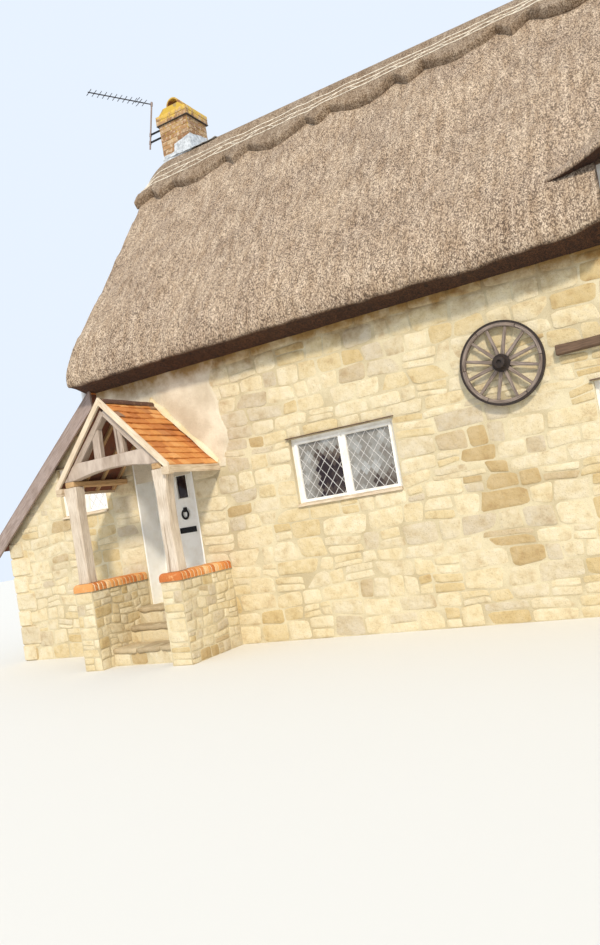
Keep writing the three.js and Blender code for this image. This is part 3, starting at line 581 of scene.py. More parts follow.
# %% Wood
def wood(name, pale, deep, crack, roughness=0.85, depth=0.003):
    """Sawn and weathered wood: grain of 9 mm across and 180 mm along, cracks of 45 mm by 1.5 m."""
    material, tree = begin(name, roughness)
    where = add(tree, "TexCoord", out="UV")
    tone = add(tree, "Attribute", out="Fac", attribute_name="tone")
    sway = add(tree, "TexNoise", {"Vector": where, "Scale": per(260), "Detail": 2})
    away = add(tree, "Math", {0: sway, 1: 0.02}, operation="MULTIPLY")
    bent = add(tree, "VectorMath", {0: where, 1: away}, operation="ADD")
    drawn = add(tree, "Mapping", {"Vector": bent, "Scale": (1.0, 0.05, 1.0)})
    grain = add(tree, "TexNoise", {"Vector": drawn, "Scale": per(9), "Detail": 5, "Roughness": 0.6})
    long = add(tree, "Mapping", {"Vector": bent, "Scale": (1.0, 0.03, 1.0)})
    split = add(tree, "TexNoise", {"Vector": long, "Scale": per(45), "Detail": 4, "Roughness": 0.7})
    shade = add(tree, "TexNoise", {"Vector": where, "Scale": per(300), "Detail": 3})
    colour = add(tree, "ValToRGB", {"Fac": grain}, stops=[(0.3, deep), (0.62, pale)])
    colour = tinted(tree, colour, 0.75, split, (0.33, crack), (0.42, "#ffffff"))
    colour = tinted(tree, colour, 0.5, shade, (0.3, "#cdc2b4"), (0.6, "#ffffff"))
    colour = tinted(tree, colour, 0.6, tone, (0.0, "#cfc6bb"), (1.0, "#ffffff"))
    return finished(material, colour, (split, depth * 2), (grain, depth))


OAK = wood("oak_beam_silvered", "#cbbcae", "#988678", "#77675c")
PALE_OAK = wood("oak_post_limewashed", "#ebe0d0", "#c6b6a2", "#a08c78")
WARM_OAK = wood("oak_plate_sheltered", "#dcb98a", "#b08a5c", "#7c5c3a")
GREY_BOARD = wood("softwood_board_grey", "#b5a49c", "#857570", "#6a5a55")
EAVES_BOARD = wood("softwood_board_cream", "#ecdcc4", "#cdb897", "#9c8466")
OLD_WOOD = wood("ash_wheel_bleached", "#a3948a", "#4c413a", "#28211d", depth=0.004)
BARK_BROWN = wood("oak_lintel_dark", "#7d6450", "#48382c", "#2a1f17")
FLOOR_BOARD = wood("elm_floorboard_waxed", "#9a7650", "#6e5034", "#4a3420", 0.45, 0.001)
print("wood is ready")

# %% [markdown]
# ## Paint, glass and metal
# The door and windows wear gloss white paint laid by brush, which shows as faint ridges 4 mm apart. The
# glass is old: small diamond panes, each set at its own slight angle, so each shows another part of sky or
# dark room, and one tone for each pane stands for that. Iron is black and dull, the lead has gone pale
# grey, and the aerial's mast and rods are dull aluminium, darkened by grime.

# %% Paint, glass and metal
def paint(name, white, roughness, dirt, wear):
    """Brushed gloss paint: fine ridges along the piece, and grime in soft patches."""
    material, tree = begin(name, roughness, Coat_Weight=0.15, Coat_Roughness=0.2)
    here = add(tree, "TexCoord", out="Object")
    drawn = add(tree, "Mapping", {"Vector": here, "Scale": (1.0, 1.0, 0.06)})
    brush = add(tree, "TexNoise", {"Vector": drawn, "Scale": per(4), "Detail": 2})
    grime = add(tree, "TexNoise", {"Vector": here, "Scale": per(160), "Detail": 6, "Roughness": 0.65})
    colour = tinted(tree, linear(white), wear, grime, (0.34, dirt), (0.56, "#ffffff"))
    return finished(material, colour, (brush, 0.0006))


def metal(name, bare, roughness, metallic, worn, grain_mm=12):
    """Plain metal with a patchy skin: noise of grain_mm sets colour and a shallow bump."""
    material, tree = begin(name, roughness, Metallic=metallic)
    here = add(tree, "TexCoord", out="Object")
    skin = add(tree, "TexNoise", {"Vector": here, "Scale": per(grain_mm), "Detail": 5, "Roughness": 0.6})
    colour = add(tree, "ValToRGB", {"Fac": skin}, stops=[(0.35, worn), (0.6, bare)])
    return finished(material, colour, (skin, 0.0008))


def old_glass(name):
    """Small panes whose colour is painted reflection of sky and painted shade of the room: tone from dark to
    pale, smooth, IOR 1.52.
    """
    material, tree = begin(name, 0.06, IOR=1.52, Specular_IOR_Level=0.25)
    here, tone = by_tone(tree)
    wave = add(tree, "TexNoise", {"Vector": here, "Scale": per(220), "Detail": 1})
    stops = [(0.0, "#2c2123"), (0.35, "#5d524a"), (0.7, "#8f8c86"), (0.985, "#b2b3b2"), (1.0, "#ffffff")]
    colour = add(tree, "ValToRGB", {"Fac": tone}, stops=stops)
    colour = tinted(tree, colour, 0.5, wave, (0.3, "#c6c9c9"), (0.7, "#ffffff"))
    return finished(material, colour, (wave, 0.001))


WHITE = paint("gloss_paint_white", "#fbfaf5", 0.32, "#d9cfbd", 0.25)
WORN_WHITE = paint("gloss_paint_weathered", "#f6f4ee", 0.42, "#c4b7a4", 0.35)
PIPE_WHITE = paint("pvc_pipe_white", "#ececea", 0.38, "#c9c3b8", 0.3)
IRON = metal("wrought_iron_black", "#26262a", 0.5, 0.6, "#121214")
TYRE = metal("iron_tyre_rusted", "#2e2a2a", 0.7, 0.5, "#46382f")
LEAD = metal("lead_sheet_weathered", "#d8dcdf", 0.6, 0.2, "#a3a8ac", 60)
CAME = metal("lead_came_pale", "#dbd8d4", 0.5, 0.3, "#a7a5a3")
ALUMINIUM = metal("mast_tube_oxidised", "#a3938c", 0.6, 0.3, "#86756e")
DARK_METAL = metal("aerial_alloy_grimed", "#4a4a4e", 0.6, 0.4, "#2f2f33")
GLASS = old_glass("crown_glass_pane")
print("paint, glass and metal are ready")

# %% [markdown]
# ## The big roof
# A thatched roof is one thick coat, about 0.7 m with its rafters, that rolls over at the eave into a blunt
# nose and is cut off sharply underneath. A box with a bump map would keep a knife-sharp edge and a ruled
# surface, and real thatch has neither. So one closed section is drawn, from the ridge down the slope, round
# the nose, back to the wall and up the inside, and it is carried from gable to gable while a slow ripple
# lifts and lowers its outer side. Over the upper window the section stops short, where the opening goes
# through.

# %% Section of the roof
PITCH = math.radians(52.5)
SLOPE = math.tan(PITCH)
AT_WALL = 4.705
RIDGE = AT_WALL + SLOPE * RIDGE_IN
ROOF_HALF = 7.85
ROOF_THICK = 0.74
WALL_THICK = 0.5
NOSE = [(-0.340, 4.230), (-0.400, 4.110), (-0.430, 4.010), (-0.434, 3.920), (-0.424, 3.866)]
NOSE_TIP = (-0.404, 3.849)
SLOPE_POINTS = 44
NOSE_POINTS = 12
UNDER_POINTS = 10
UNDER_START, UNDER_LEVEL, UNDER_DROP = -0.36, 3.8505, 0.085


def through(corners, count):
    """A smooth line of count points through corners: each coordinate is a cubic of the distance run."""
    corners = np.asarray(corners, float)
    run = run_of(corners)
    tangent = np.gradient(corners, run, axis=0)
    s = np.linspace(0, run[-1], count)
    i = np.clip(np.searchsorted(run, s, side="right") - 1, 0, len(run) - 2)
    h = (run[i + 1] - run[i])[:, None]
    t = (s[:, None] - run[i][:, None]) / h
    a, b = corners[i], corners[i + 1]
    p, q = tangent[i] * h, tangent[i + 1] * h
    return a + p * t + (3 * (b - a) - 2 * p - q) * t**2 + (2 * (a - b) + p + q) * t**3


def outer_line():
    """(y, z) from the ridge to the inside corner of the wall head, y counted from the front face."""
    y = np.linspace(RIDGE_IN, NOSE[0][0], SLOPE_POINTS)
    slope = np.column_stack([y, AT_WALL + SLOPE * y])
    slope[-1] = NOSE[0]
    slope[-2, 1] -= 0.006
    nose = through([slope[-2], *NOSE, NOSE_TIP], NOSE_POINTS + 1)[1:]
    back = np.linspace(UNDER_START, WALL_THICK, UNDER_POINTS)
    under = np.column_stack([back, UNDER_LEVEL - UNDER_DROP * ease(1 - back / UNDER_START)])
    return np.concatenate([slope[:-1], nose, under])


OUTER = outer_line()
OPENING_HEAD = 4.6
OPENING_HALF = 0.60
# Painted shade along the section: 1 on the slope and nose, 0.8 and 0.25 at the nose's foot, 0 on the
# underside.
SHADE = np.concatenate([np.ones(SLOPE_POINTS + NOSE_POINTS - 3), [0.8, 0.25], np.zeros(UNDER_POINTS)])


def cut_line():
    """The same line where the window opening goes through: points below its head move on to it, spread
    from the slope to the inside of the roof."""
    line = OUTER.copy()
    low = np.nonzero(line[:, 1] < OPENING_HEAD)[0]
    first = (OPENING_HEAD - AT_WALL) / SLOPE
    line[low, 0] = np.linspace(first, 0.487, len(low))
    line[low, 1] = OPENING_HEAD
    return line


def inner_line():
    """(y, z) of the inside of the roof, with as many points as the outer line, from the ridge down."""
    y = np.linspace(RIDGE_IN, WALL_THICK, len(OUTER))
    return np.column_stack([y, AT_WALL - ROOF_THICK + SLOPE * y])


def over_ridge(line):
    """The same (y, z) line on the other side of the ridge."""
    return line * (-1, 1) + (HOUSE_DEEP, 0)


print("the section has", len(OUTER), "points a side")


# %% Carrying it along
ROUNDED, EDGE_SINK = 0.06, 0.010
DROOP_REACH, DROOP_DEEP = 0.45, 0.2


def thatch_lumps(x, s):
    """How far the straw stands up or sinks at x along the roof and s down it: waves of 2.2 m, 0.7 m and
    0.25 m."""
    long, middle, short = ripple(x, s * 0.7, 2.2, 11), ripple(x, s, 0.7, 12), ripple(x, s, 0.25, 13)
    return 0.018 * long + 0.009 * middle + 0.005 * short


def sag(x):
    """How far the eave hangs down at x: a slow ripple, a fine one, one low place beside the window, and a
    rise of 55 mm at the window itself."""
    slow = 0.014 + 0.014 * waver(x, 1.7, 15) + 0.005 * waver(x, 0.3, 16)
    by_window = 0.055 * ease((1.0 - np.abs(x)) / 0.4)
    return np.maximum(slow, 0) + 0.055 * np.exp(-(((x + 2.05) / 0.42) ** 2)) - by_window


def droop(x, s):
    """How far the ridge's last 0.45 m sink towards a gable: a square curve to 0.2 m, fading 0.8 m down the
    slope, because the end of a thatched ridge is rounded by hand."""
    share = np.clip((np.abs(x) - ROOF_HALF + DROOP_REACH) / DROOP_REACH, 0, 1)
    return DROOP_DEEP * share**2 * ease((0.8 - s) / 0.7)


def roof_section(x, line, turned):
    """One side of the section at x: the outer line raised by the lumps along its own normal, drawn in near
    the gables by a quarter circle of 60 mm, and lowered at the eave by the sag. On the nose the lumps only
    sink, so that it stays inside its own outline."""
    along = np.gradient(line, axis=0)
    normal = unit(np.column_stack([along[:, 1], -along[:, 0]]))
    place = -x if turned else x
    s = run_of(line)
    to_end = s[-1] - s
    lift = thatch_lumps(place, s) * ease(to_end / 0.7) * ease(s / 0.2)
    on_nose = ease((1.75 - to_end) / 0.35)
    lift = lift * (1 - on_nose) + np.minimum(lift - EDGE_SINK, 0) * on_nose * ease((to_end - 0.86) / 0.1)
    edge = np.clip((ROUNDED - (ROOF_HALF - abs(x))) / ROUNDED, 0, 1)
    lift = lift - ROUNDED * (1 - np.sqrt(1 - edge**2)) * ease(to_end / 0.25)
    moved = line + normal * lift[:, None]
    moved[:, 1] -= sag(place) * ease((-0.02 - line[:, 0]) / 0.34) + droop(x, s)
    return moved, s


def main_roof():
    """Rings of four lines, front outer, inner up, inner down and back outer, at each place along X."""
    marks = [-ROOF_HALF, -OPENING_HALF, OPENING_HALF, ROOF_HALF]
    dense = [np.linspace(a, b, many) for a, b, many in zip(marks[:-1], marks[1:], (110, 15, 110))]
    beside = OPENING_HALF + 1e-4
    ends = ROOF_HALF - np.array([0.0, 0.004, 0.015, 0.035])
    places = np.unique(np.concatenate([*dense, [-beside, beside], ends, -ends]))
    inner = inner_line()
    cut = cut_line()
    points, uvs, shades = [], [], []
    for x in places:
        over_window = abs(x) <= OPENING_HALF
        line = cut if over_window else OUTER
        # Painted shade: over the window the cut face below the opening's head is darkened to 0.15, and the
        # roof's inside is 0.
        shade = np.where(line[:, 1] > OPENING_HEAD, 1.0, 0.15) if over_window else SHADE
        front, s = roof_section(x, line, False)
        back = over_ridge(roof_section(x, line, True)[0])
        ring = np.concatenate([front, inner[::-1], over_ridge(inner[1:]), back[:0:-1]])
        along = np.full(len(ring), x)
        points.append(np.column_stack([along, ring[:, 0] + FACE, ring[:, 1]]))
        uvs.append(np.column_stack([along, np.concatenate([s, s[::-1], s[1:], s[:0:-1]])]))
        shades.append(np.concatenate([shade, np.zeros(2 * len(line) - 1), shade[:0:-1]]))
    points = np.array(points)
    count = len(OUTER)
    n, k = points.shape[:2]
    side = np.arange(count - 1)
    front_cap = np.column_stack([side, side + 1, 2 * count - 2 - side, 2 * count - 1 - side])
    outer_back, inner_back = (k - side) % k, 2 * count - 1 + side
    back_cap = np.column_stack([outer_back, inner_back, inner_back + 1, (k - side - 1) % k])
    caps = np.concatenate([front_cap, back_cap])
    faces = [grid_faces(n, k), caps, caps[:, ::-1] + (n - 1) * k]
    return shape(points, faces, np.array(shades), np.array(uvs))


put("thatch_slopes", main_roof(), THATCH, replaces=["thatch_roof"], crease=50)

# %% [markdown]
# ## The eyebrow
# Over the upper window the thatch is lifted like an eyelid. The lift is a hump with its own shallower
# slope, and it has no edge: it swells out of the roof. A smooth maximum of the two surfaces gives exactly
# that, half of the sum of their difference d and the root of d squared plus a small square, added to the
# roof. Its lower edge is an arch, and its front draws back towards both ends, so a crease runs in under it
# and is lost in the slope.

# %% The eyebrow
BROW_SOFT = 0.06
BROW_HALF, BROW_REACH, BROW_BACK = 1.064, 1.6, 1.75
BROW_ANGLE = math.radians(30)
LIP_OUT, LIP_DRAW, LIP_ARCH = 0.38, 0.238, 0.22
TOP_POINTS, LIP_POINTS = 34, 7


def brow_front(x):
    """(y, z) of the lip at x: it stands 0.38 m out in the middle and draws back to the slope at its ends,
    and its arch is a bell 0.22 m high, (1 - share squared) cubed."""
    share = np.clip(np.abs(x) / BROW_HALF, 0, 1)
    y = LIP_DRAW * share**2 - LIP_OUT
    return y, AT_WALL - SLOPE * (LIP_OUT - LIP_DRAW) + LIP_ARCH * (1 - share**2) ** 3


def brow():
    """A closed sheet: the top from its back edge to the front, round the lip, and back underneath. Past the
    ends of the lip the whole sheet sinks under the slope, so that only the swelling shows there."""
    x = np.linspace(-BROW_REACH, BROW_REACH, 91)[:, None]
    front, lip = brow_front(x)
    t = np.linspace(0, 1, TOP_POINTS)[None]
    y = BROW_BACK + (front - BROW_BACK) * t
    roof = AT_WALL + SLOPE * y
    s = (RIDGE_IN - y) / math.cos(PITCH)
    thickness = 0.03 + 0.08 * ease((BROW_HALF - np.abs(x)) / 0.6)
    away = lip + thickness + math.tan(BROW_ANGLE) * (y - front) - roof
    swell = 0.5 * (away + np.sqrt(away**2 + BROW_SOFT**2)) * ease((BROW_REACH - np.abs(x)) / 0.35)
    sink = 0.012 + 0.075 * ease((np.abs(x) - BROW_HALF + 0.04) / 0.15) * ease((t - 0.6) / 0.3)
    swell = swell * ease((BROW_BACK - y) / 0.5) - sink
    top = roof + swell + thatch_lumps(x + 0 * y, s) / math.cos(PITCH)
    under = np.minimum(np.maximum(roof - 0.06, lip), top - 0.004)
    thick = top[:, -1:] - under[:, -1:]
    turn_in = np.linspace(0, np.pi, LIP_POINTS + 2)[None, 1:-1]
    bulge = np.minimum(0.05, thick * 0.3)
    fall = thick * (1 - np.cos(turn_in)) / 2
    edge_y, edge_z = front - bulge * np.sin(turn_in) * 0.8, top[:, -1:] - fall
    ring_y = np.concatenate([y, edge_y, y[:, ::-1]], 1)
    ring_z = np.concatenate([top, edge_z, under[:, ::-1]], 1)
    points = np.stack([np.broadcast_to(x, ring_y.shape), ring_y + FACE, ring_z], -1)
    down = np.concatenate([s, s[:, -1:] + fall, s[:, ::-1]], 1)
    # Painted shade: the lip fades from 1 to 0.15 and the underside is 0, darkened brown through the straw's
    # tone.
    shade = np.concatenate([np.ones(TOP_POINTS), np.linspace(1, 0.15, LIP_POINTS), np.zeros(TOP_POINTS)])
    return rings(points, np.tile(shade, len(x)), np.stack([np.broadcast_to(x, down.shape), down], -1))


put("thatch_eyebrow_front", brow(), THATCH, crease=70)
put("thatch_eyebrow_back", half_turn(brow()), THATCH, crease=70)

# %% [markdown]
# ## The ridge cap
# The top of the roof carries a second, raised coat of sedge that is cut along its lower edge into long
# swags and short points, and widens towards the gables. It is the same kind of sheet, thick at the ridge
# and rounded at its edge, so that the edge throws a line of shadow. Its lower edge is a function of X.

# %% The ridge cap
BAY, POINT_SHARE = 1.467, 0.14
CAP_EDGE, CAP_RISE, CREST = 0.09, 0.122, -0.125
CAP_MIDDLE, CAP_WIDER, SWAG_DEEP = 0.33, 0.41, 0.26
CAP_TOP, CAP_TURN, CAP_UNDER = 18, 7, 5


def cap_length(x):
    """Slope covered at x: 0.33 m at the cusps in the middle and 0.74 m at the ends, and up to 0.26 m more in
    a soft point over each bay line and in a quarter sine wave on the way to the middle of a swag."""
    away = np.abs(x / BAY - np.round(x / BAY))
    swag = np.sin(0.5 * np.pi * np.clip((away - POINT_SHARE) / (0.5 - POINT_SHARE), 0, 1))
    point = 0.9 * np.clip(1 - away / POINT_SHARE, 0, 1) ** 0.85
    drop = np.where(away < POINT_SHARE, point, swag)
    ragged = 0.012 * waver(x, 0.35, 24)
    return cap_base(x) + SWAG_DEEP * drop + ragged


def cap_base(x):
    """Slope covered at the cusps: 0.33 m in the middle and 0.74 m at the ends."""
    return CAP_MIDDLE + CAP_WIDER * np.abs(x) / ROOF_HALF


def cap_place(x, s, height):
    """The point at x, s down the slope from the ridge and a height off it, square to the slope; s is less
    than 0 above the ridge, up to the crest of the cap, where both slopes meet."""
    y = np.minimum(RIDGE_IN, RIDGE_IN - s * math.cos(PITCH) - height * math.sin(PITCH))
    z = RIDGE - s * math.sin(PITCH) + height * math.cos(PITCH) - droop(x, s)
    return np.stack([np.broadcast_to(x, y.shape), y + FACE, z], -1)


def cap_height(x, s, seed):
    """How far the cap's surface stands off the slope: 122 mm, less near the crest and a little less lower
    down, with soft lumps."""
    lumps = 0.006 * ripple(x + 0 * s, s, 0.5, seed) + 0.003 * ripple(x + 0 * s, s, 0.16, 23)
    crest = 0.027 * np.exp(-(((s - CREST) / 0.07) ** 2))
    return CAP_RISE - crest - 0.02 * np.clip(s / 0.9, 0, 1) ** 2 + lumps * ease((s - CREST) / 0.15)


def cap_ring(x, turned):
    """One slope's line at every x: from the crest down to the rounded edge and back beneath."""
    length = cap_length(-x if turned else x)
    s_top = CREST + (length - CAP_EDGE / 2 - CREST) * np.linspace(0, 1, CAP_TOP)[None]
    h_top = cap_height(x, s_top, 21 + turned)
    turn_down = np.linspace(0, 1, CAP_TURN + 1)[None, 1:]
    s_edge = length - CAP_EDGE / 2 + CAP_EDGE / 2 * np.sin(turn_down * np.pi * 0.62)
    h_edge = -0.02 + (h_top[:, -1:] + 0.02) * (0.5 + 0.5 * np.cos(turn_down * np.pi))
    s_under = (length - 0.08) * np.linspace(1, 0, CAP_UNDER)[None]
    s = np.concatenate([s_top, s_edge, s_under], 1)
    h = np.concatenate([h_top, h_edge, np.full(s_under.shape, -0.03)], 1)
    return cap_place(x, s, h)


def ridge_cap():
    """Both slopes' lines joined into one ring at each x, the back one with y mirrored about the ridge."""
    x = np.linspace(-ROOF_HALF, ROOF_HALF, 500)[:, None]
    front, back = cap_ring(x, False), cap_ring(x, True)
    back = back * np.array([1.0, -1.0, 1.0])
    points = np.concatenate([front, back[:, -2:0:-1]], 1)
    run = np.pad(np.cumsum(np.linalg.norm(np.diff(front, axis=1), axis=2), 1), ((0, 0), (1, 0)))
    down = np.concatenate([run, run[:, -2:0:-1]], 1)
    # Painted shade: the rounded edge fades from 1 to 0.55 and the underside is 0, darkened brown through the
    # straw's tone.
    edge = np.concatenate([np.ones(CAP_TOP), np.linspace(1.0, 0.55, CAP_TURN), np.zeros(CAP_UNDER)])
    shade = np.tile(np.concatenate([edge, edge[-2:0:-1]]), len(x))
    return rings(points, shade, np.stack([np.broadcast_to(x, down.shape), down + 9], -1))


put("ridge_cap_sedge", ridge_cap(), RIDGE_STRAW, replaces=["ridge_cap"], crease=70)

# %% [markdown]
# Split hazel rods, the liggers, pin the sedge down. Three run along each slope, closer together where the
# cap is narrower, and short spars cross between the lower two.

# %% Hazel rods
LIGGERS = (0.36, 0.58, 0.79)


def ligger(share, seed):
    """One rod along the front slope at a share of the cap's width, a rod's half sunk in the sedge."""
    x = np.linspace(-ROOF_HALF + 0.04, ROOF_HALF - 0.04, 150)
    s = share * cap_base(x) + 0.006 * waver(x, 1.1, seed)
    return tube(cap_place(x, s, cap_height(x, s, 21) + 0.004), 0.0085, 6, 0.8)


def spars(seed):
    """Short diagonal rods between the second and third ligger, 0.35 m apart, leaning to and fro."""
    rng = np.random.default_rng(seed)
    x = np.arange(-ROOF_HALF + 0.2, ROOF_HALF - 0.2, 0.35)
    lean = np.where(np.arange(len(x)) % 2, 0.09, -0.09) + rng.normal(0, 0.01, len(x))
    parts = []
    for place, side in zip(x, lean):
        across = place + side * np.array([-1.0, 0.0, 1.0])
        s = cap_base(place) * np.linspace(LIGGERS[1], LIGGERS[2], 3)
        path = cap_place(across, s, cap_height(across, s, 21) + 0.003)
        parts.append(tube(path, 0.006, 5, rng.uniform(0.4, 0.9)))
    return gather(parts)


rods = gather([*[ligger(share, 26 + i) for i, share in enumerate(LIGGERS)], spars(30)])
put("hazel_rods_front", rods, HAZEL)
put("hazel_rods_back", half_turn(rods), HAZEL)

# %% [markdown]
# ## Rubble walls
# The walls are built of split limestone in rough courses. A bump map would keep the wall flat, and in low
# sun the joints must be real. So each stone is a low cushion: a rounded outline that starts behind the
# mortar, rises to its face and is slightly tilted. A wall is divided into courses between its levels,
# such as sills and heads, and each course into stones between its openings, all by one random stream with
# a fixed seed. The outlines are then bent by a ripple that fades out at corners and openings, so the
# courses waver but the edges stay straight.

# %% Laying out stones
STONE_CORNERS, STONE_RINGS = 12, 4
CORNER_ANGLES = np.radians(15 + 30 * np.arange(STONE_CORNERS))
SQUARENESS = 7.0
JOINT = 0.008
SUNK = 0.02


def shares(rng, length, mean, spread):
    """Cuts a length into pieces of about the mean size: random weights, scaled to fill it."""
    count = max(1, int(round(length / mean)))
    weights = rng.uniform(1 - spread, 1 + spread, count)
    return np.concatenate([[0], np.cumsum(weights)]) / weights.sum() * length


def lay_courses(rng, wall, levels, holes, course, stone):
    """Rectangles (left, right, bottom, top) that fill the wall between its levels and round its holes. A
    fifth of the stones are split in two, one above the other."""
    left, right, bottom, top = wall
    marks = sorted({bottom, top, *[z for z in levels if bottom < z < top]})
    found = []
    for low, high in zip(marks[:-1], marks[1:]):
        edges = low + shares(rng, high - low, course, 0.3)
        for z0, z1 in zip(edges[:-1], edges[1:]):
            spans = [(left, right)]
            for a, b, c, d in holes:
                if c < z1 - 0.01 and d > z0 + 0.01:
                    pieces = [s for l, r in spans for s in ((l, min(r, a)), (max(l, b), r))]
                    spans = [s for s in pieces if s[1] - s[0] > 0.06]
            for l, r in spans:
                cuts = l + shares(rng, r - l, stone * rng.uniform(0.85, 1.2), 0.55)
                one = np.ones(len(cuts) - 1)
                column = np.column_stack([cuts[:-1], cuts[1:], z0 * one, z1 * one])
                split = (rng.random(len(column)) < 0.2) & (z1 - z0 > 0.11)
                middle = z0 + (z1 - z0) * rng.uniform(0.4, 0.6, len(column))
                lower, upper = column[split].copy(), column[split].copy()
                lower[:, 3] = upper[:, 2] = middle[split]
                found += [column[~split], lower, upper]
    return np.concatenate(found)


def edge_fade(u, z, wall, holes, reach=0.3):
    """0 at the wall's edges and round its holes, rising to 1 at reach from them."""
    left, right, bottom, top = wall
    away = np.minimum(np.minimum(u - left, right - u), np.minimum(z - bottom, top - z))
    for a, b, c, d in holes:
        gap = np.hypot(np.maximum(np.maximum(a - u, u - b), 0), np.maximum(np.maximum(c - z, z - d), 0))
        away = np.minimum(away, gap)
    return ease(away / reach)


def stones(rects, wall, holes, origin, along, out, seed, proud=(0.002, 0.008), limit=None):
    """Cushions on the rectangles. An outline point is the centre plus half the size times the signed
    2 / squareness power of cos and sin. Its rings lie behind the wall, near the face, and on the face."""
    rng = np.random.default_rng(seed)
    count = len(rects)
    centre = np.column_stack([rects[:, :2].mean(1), rects[:, 2:].mean(1)])
    half = np.column_stack([rects[:, 1] - rects[:, 0], rects[:, 3] - rects[:, 2]]) / 2 - JOINT / 2
    half *= rng.uniform(0.95, 1.0, half.shape)
    circle = np.column_stack([np.cos(CORNER_ANGLES), np.sin(CORNER_ANGLES)])
    circle = np.sign(circle) * np.abs(circle) ** (2 / SQUARENESS)
    wobble = 1 + rng.uniform(-0.06, 0.02, (count, STONE_CORNERS))
    outline = circle[None] * half[:, None] * wobble[..., None]
    height = rng.uniform(*proud, count)
    tilt = rng.uniform(-0.025, 0.025, (count, 1, 2))
    levels = []
    for scale, rise in ((1.0, None), (0.99, 0.4), (0.93, 0.9), (0.5, 1.1)):
        flat = outline * scale
        depth = np.full(flat.shape[:2], -SUNK)
        if rise is not None:
            depth = height[:, None] * rise + (flat * tilt).sum(-1)
        levels.append(np.concatenate([flat + centre[:, None], depth[..., None]], -1))
    points = np.concatenate(levels, 1)
    u, z, d = points[..., 0], points[..., 1], points[..., 2]
    fade = edge_fade(u, z, wall, holes)
    bent_u = u + (0.018 * ripple(u, z, 0.9, seed + 1) + 0.012 * ripple(u, z, 0.38, seed + 3)) * fade
    bent_z = z + (0.022 * ripple(u, z, 1.1, seed + 2) + 0.011 * ripple(u, z, 0.42, seed + 4)) * fade
    if limit is not None:
        bent_z = np.minimum(bent_z, limit(bent_u) - 0.005)
    deep = np.maximum(d, -SUNK)
    placed = np.asarray(origin) + bent_u[..., None] * along + bent_z[..., None] * Z + deep[..., None] * out
    each = STONE_RINGS * STONE_CORNERS
    base = np.arange(STONE_CORNERS)[None]
    flat = [grid_faces(STONE_RINGS, STONE_CORNERS), base + each - STONE_CORNERS, base[:, ::-1]]
    sides, caps, bases = repeated(flat, each, count)
    tone = 0.5 + 0.22 * ripple(*centre.T, 2.4, seed + 5) + rng.normal(0, 0.2, count)
    return shape(placed, [sides, np.concatenate([caps, bases])], np.repeat(np.clip(tone, 0, 1), each))


def rubble(wall, origin, along, out, seed, holes=(), levels=(), course=0.15, stone=0.27, limit=None,
           drop=None, **finish):
    """A whole wall of stones, u along it and z up: none stand above limit(u), and drop(u, z) is true where
    the wall is hidden or rendered."""
    rng = np.random.default_rng(seed)
    rects = lay_courses(rng, wall, levels, holes, course, stone)
    keep = np.ones(len(rects), bool)
    if limit is not None:
        keep &= rects[:, 2] < np.minimum(limit(rects[:, 0]), limit(rects[:, 1])) - 0.05
    if drop is not None:
        keep &= ~drop(rects[:, :2].mean(1), rects[:, 2:].mean(1))
    return stones(rects[keep], wall, holes, origin, along, out, seed, limit=limit, **finish)


# %% [markdown]
# Where each wall lies comes from the solids. The front wall's stones are larger and smoother than those of
# the porch and lean-to. Over the porch roof the wall is rendered, so no stones are laid there. A window is
# given by its middle and a size: half its width, its sill and its head.

# %% Front and back walls
HALF, WALL_TOP = 7.7, 3.84
SIDE_X, LEAN_X = 3.965, -8.25
SIDE_LIGHT, MIDDLE_LIGHT = (0.705, 1.65, 2.50), (1.0, 1.65, 2.42)
UPPER_LIGHT, LEAN_LIGHT = (0.65, 3.85, 4.60), (0.45, 2.06, 2.80)
DOORWAY = (-7.24, -6.23, 0.0, 2.65)
PORCH_MIDDLE, PORCH_HALF, PORCH_TOP, PORCH_RISE = -6.7, 0.95, 3.42, 1.06
CORNER_STONE = 0.27


def window_hole(centre, size):
    """(left, right, bottom, top) of a window's opening."""
    half, sill, head = size
    return centre - half, centre + half, sill, head


def porch_line(x):
    """Height of the porch roof's tiles at x."""
    return PORCH_TOP - PORCH_RISE * np.abs(x - PORCH_MIDDLE)


def rendered(x, z):
    """True over the porch roof, where the wall is smooth."""
    return (np.abs(x - PORCH_MIDDLE) < PORCH_HALF) & (z > porch_line(x) - 0.05)


BACK_HOLES = [window_hole(-SIDE_X, SIDE_LIGHT), window_hole(SIDE_X, SIDE_LIGHT)]
FRONT_HOLES = [DOORWAY, BACK_HOLES[0], window_hole(0.0, MIDDLE_LIGHT), BACK_HOLES[1]]
LEVELS = (SIDE_LIGHT[1], MIDDLE_LIGHT[2], SIDE_LIGHT[2], DOORWAY[3])
inside = HALF - CORNER_STONE
front = rubble((-HALF, inside, 0.0, WALL_TOP), (0, FACE, 0), X, -Y, 101, FRONT_HOLES, LEVELS, 0.20, 0.36,
               drop=rendered)
back = rubble((-inside, inside, 0.0, WALL_TOP), (0, FACE, 0), X, -Y, 102, BACK_HOLES, LEVELS, 0.20, 0.34)
put("front_stones", front, LIMESTONE, crease=50)
put("back_stones", half_turn(back), LIMESTONE, crease=50)


# %% Gables and lean-to
LEAN_LEFT, LEAN_DEPTH, LEAN_TOP, LEAN_SLOPE = -9.93, 3.6, 3.8, 0.8
LEAN_FACE_TOP, LEAN_END_TOP, GABLE_TOP = 3.7, 1.87, 7.1
LEAN_THICK = 0.141


def gable_limit(u):
    """Underside of the thatch over a gable, u being counted from the front face."""
    y = np.minimum(u, HOUSE_DEEP - u)
    return np.where(y < WALL_THICK, WALL_TOP, AT_WALL - ROOF_THICK + SLOPE * y)


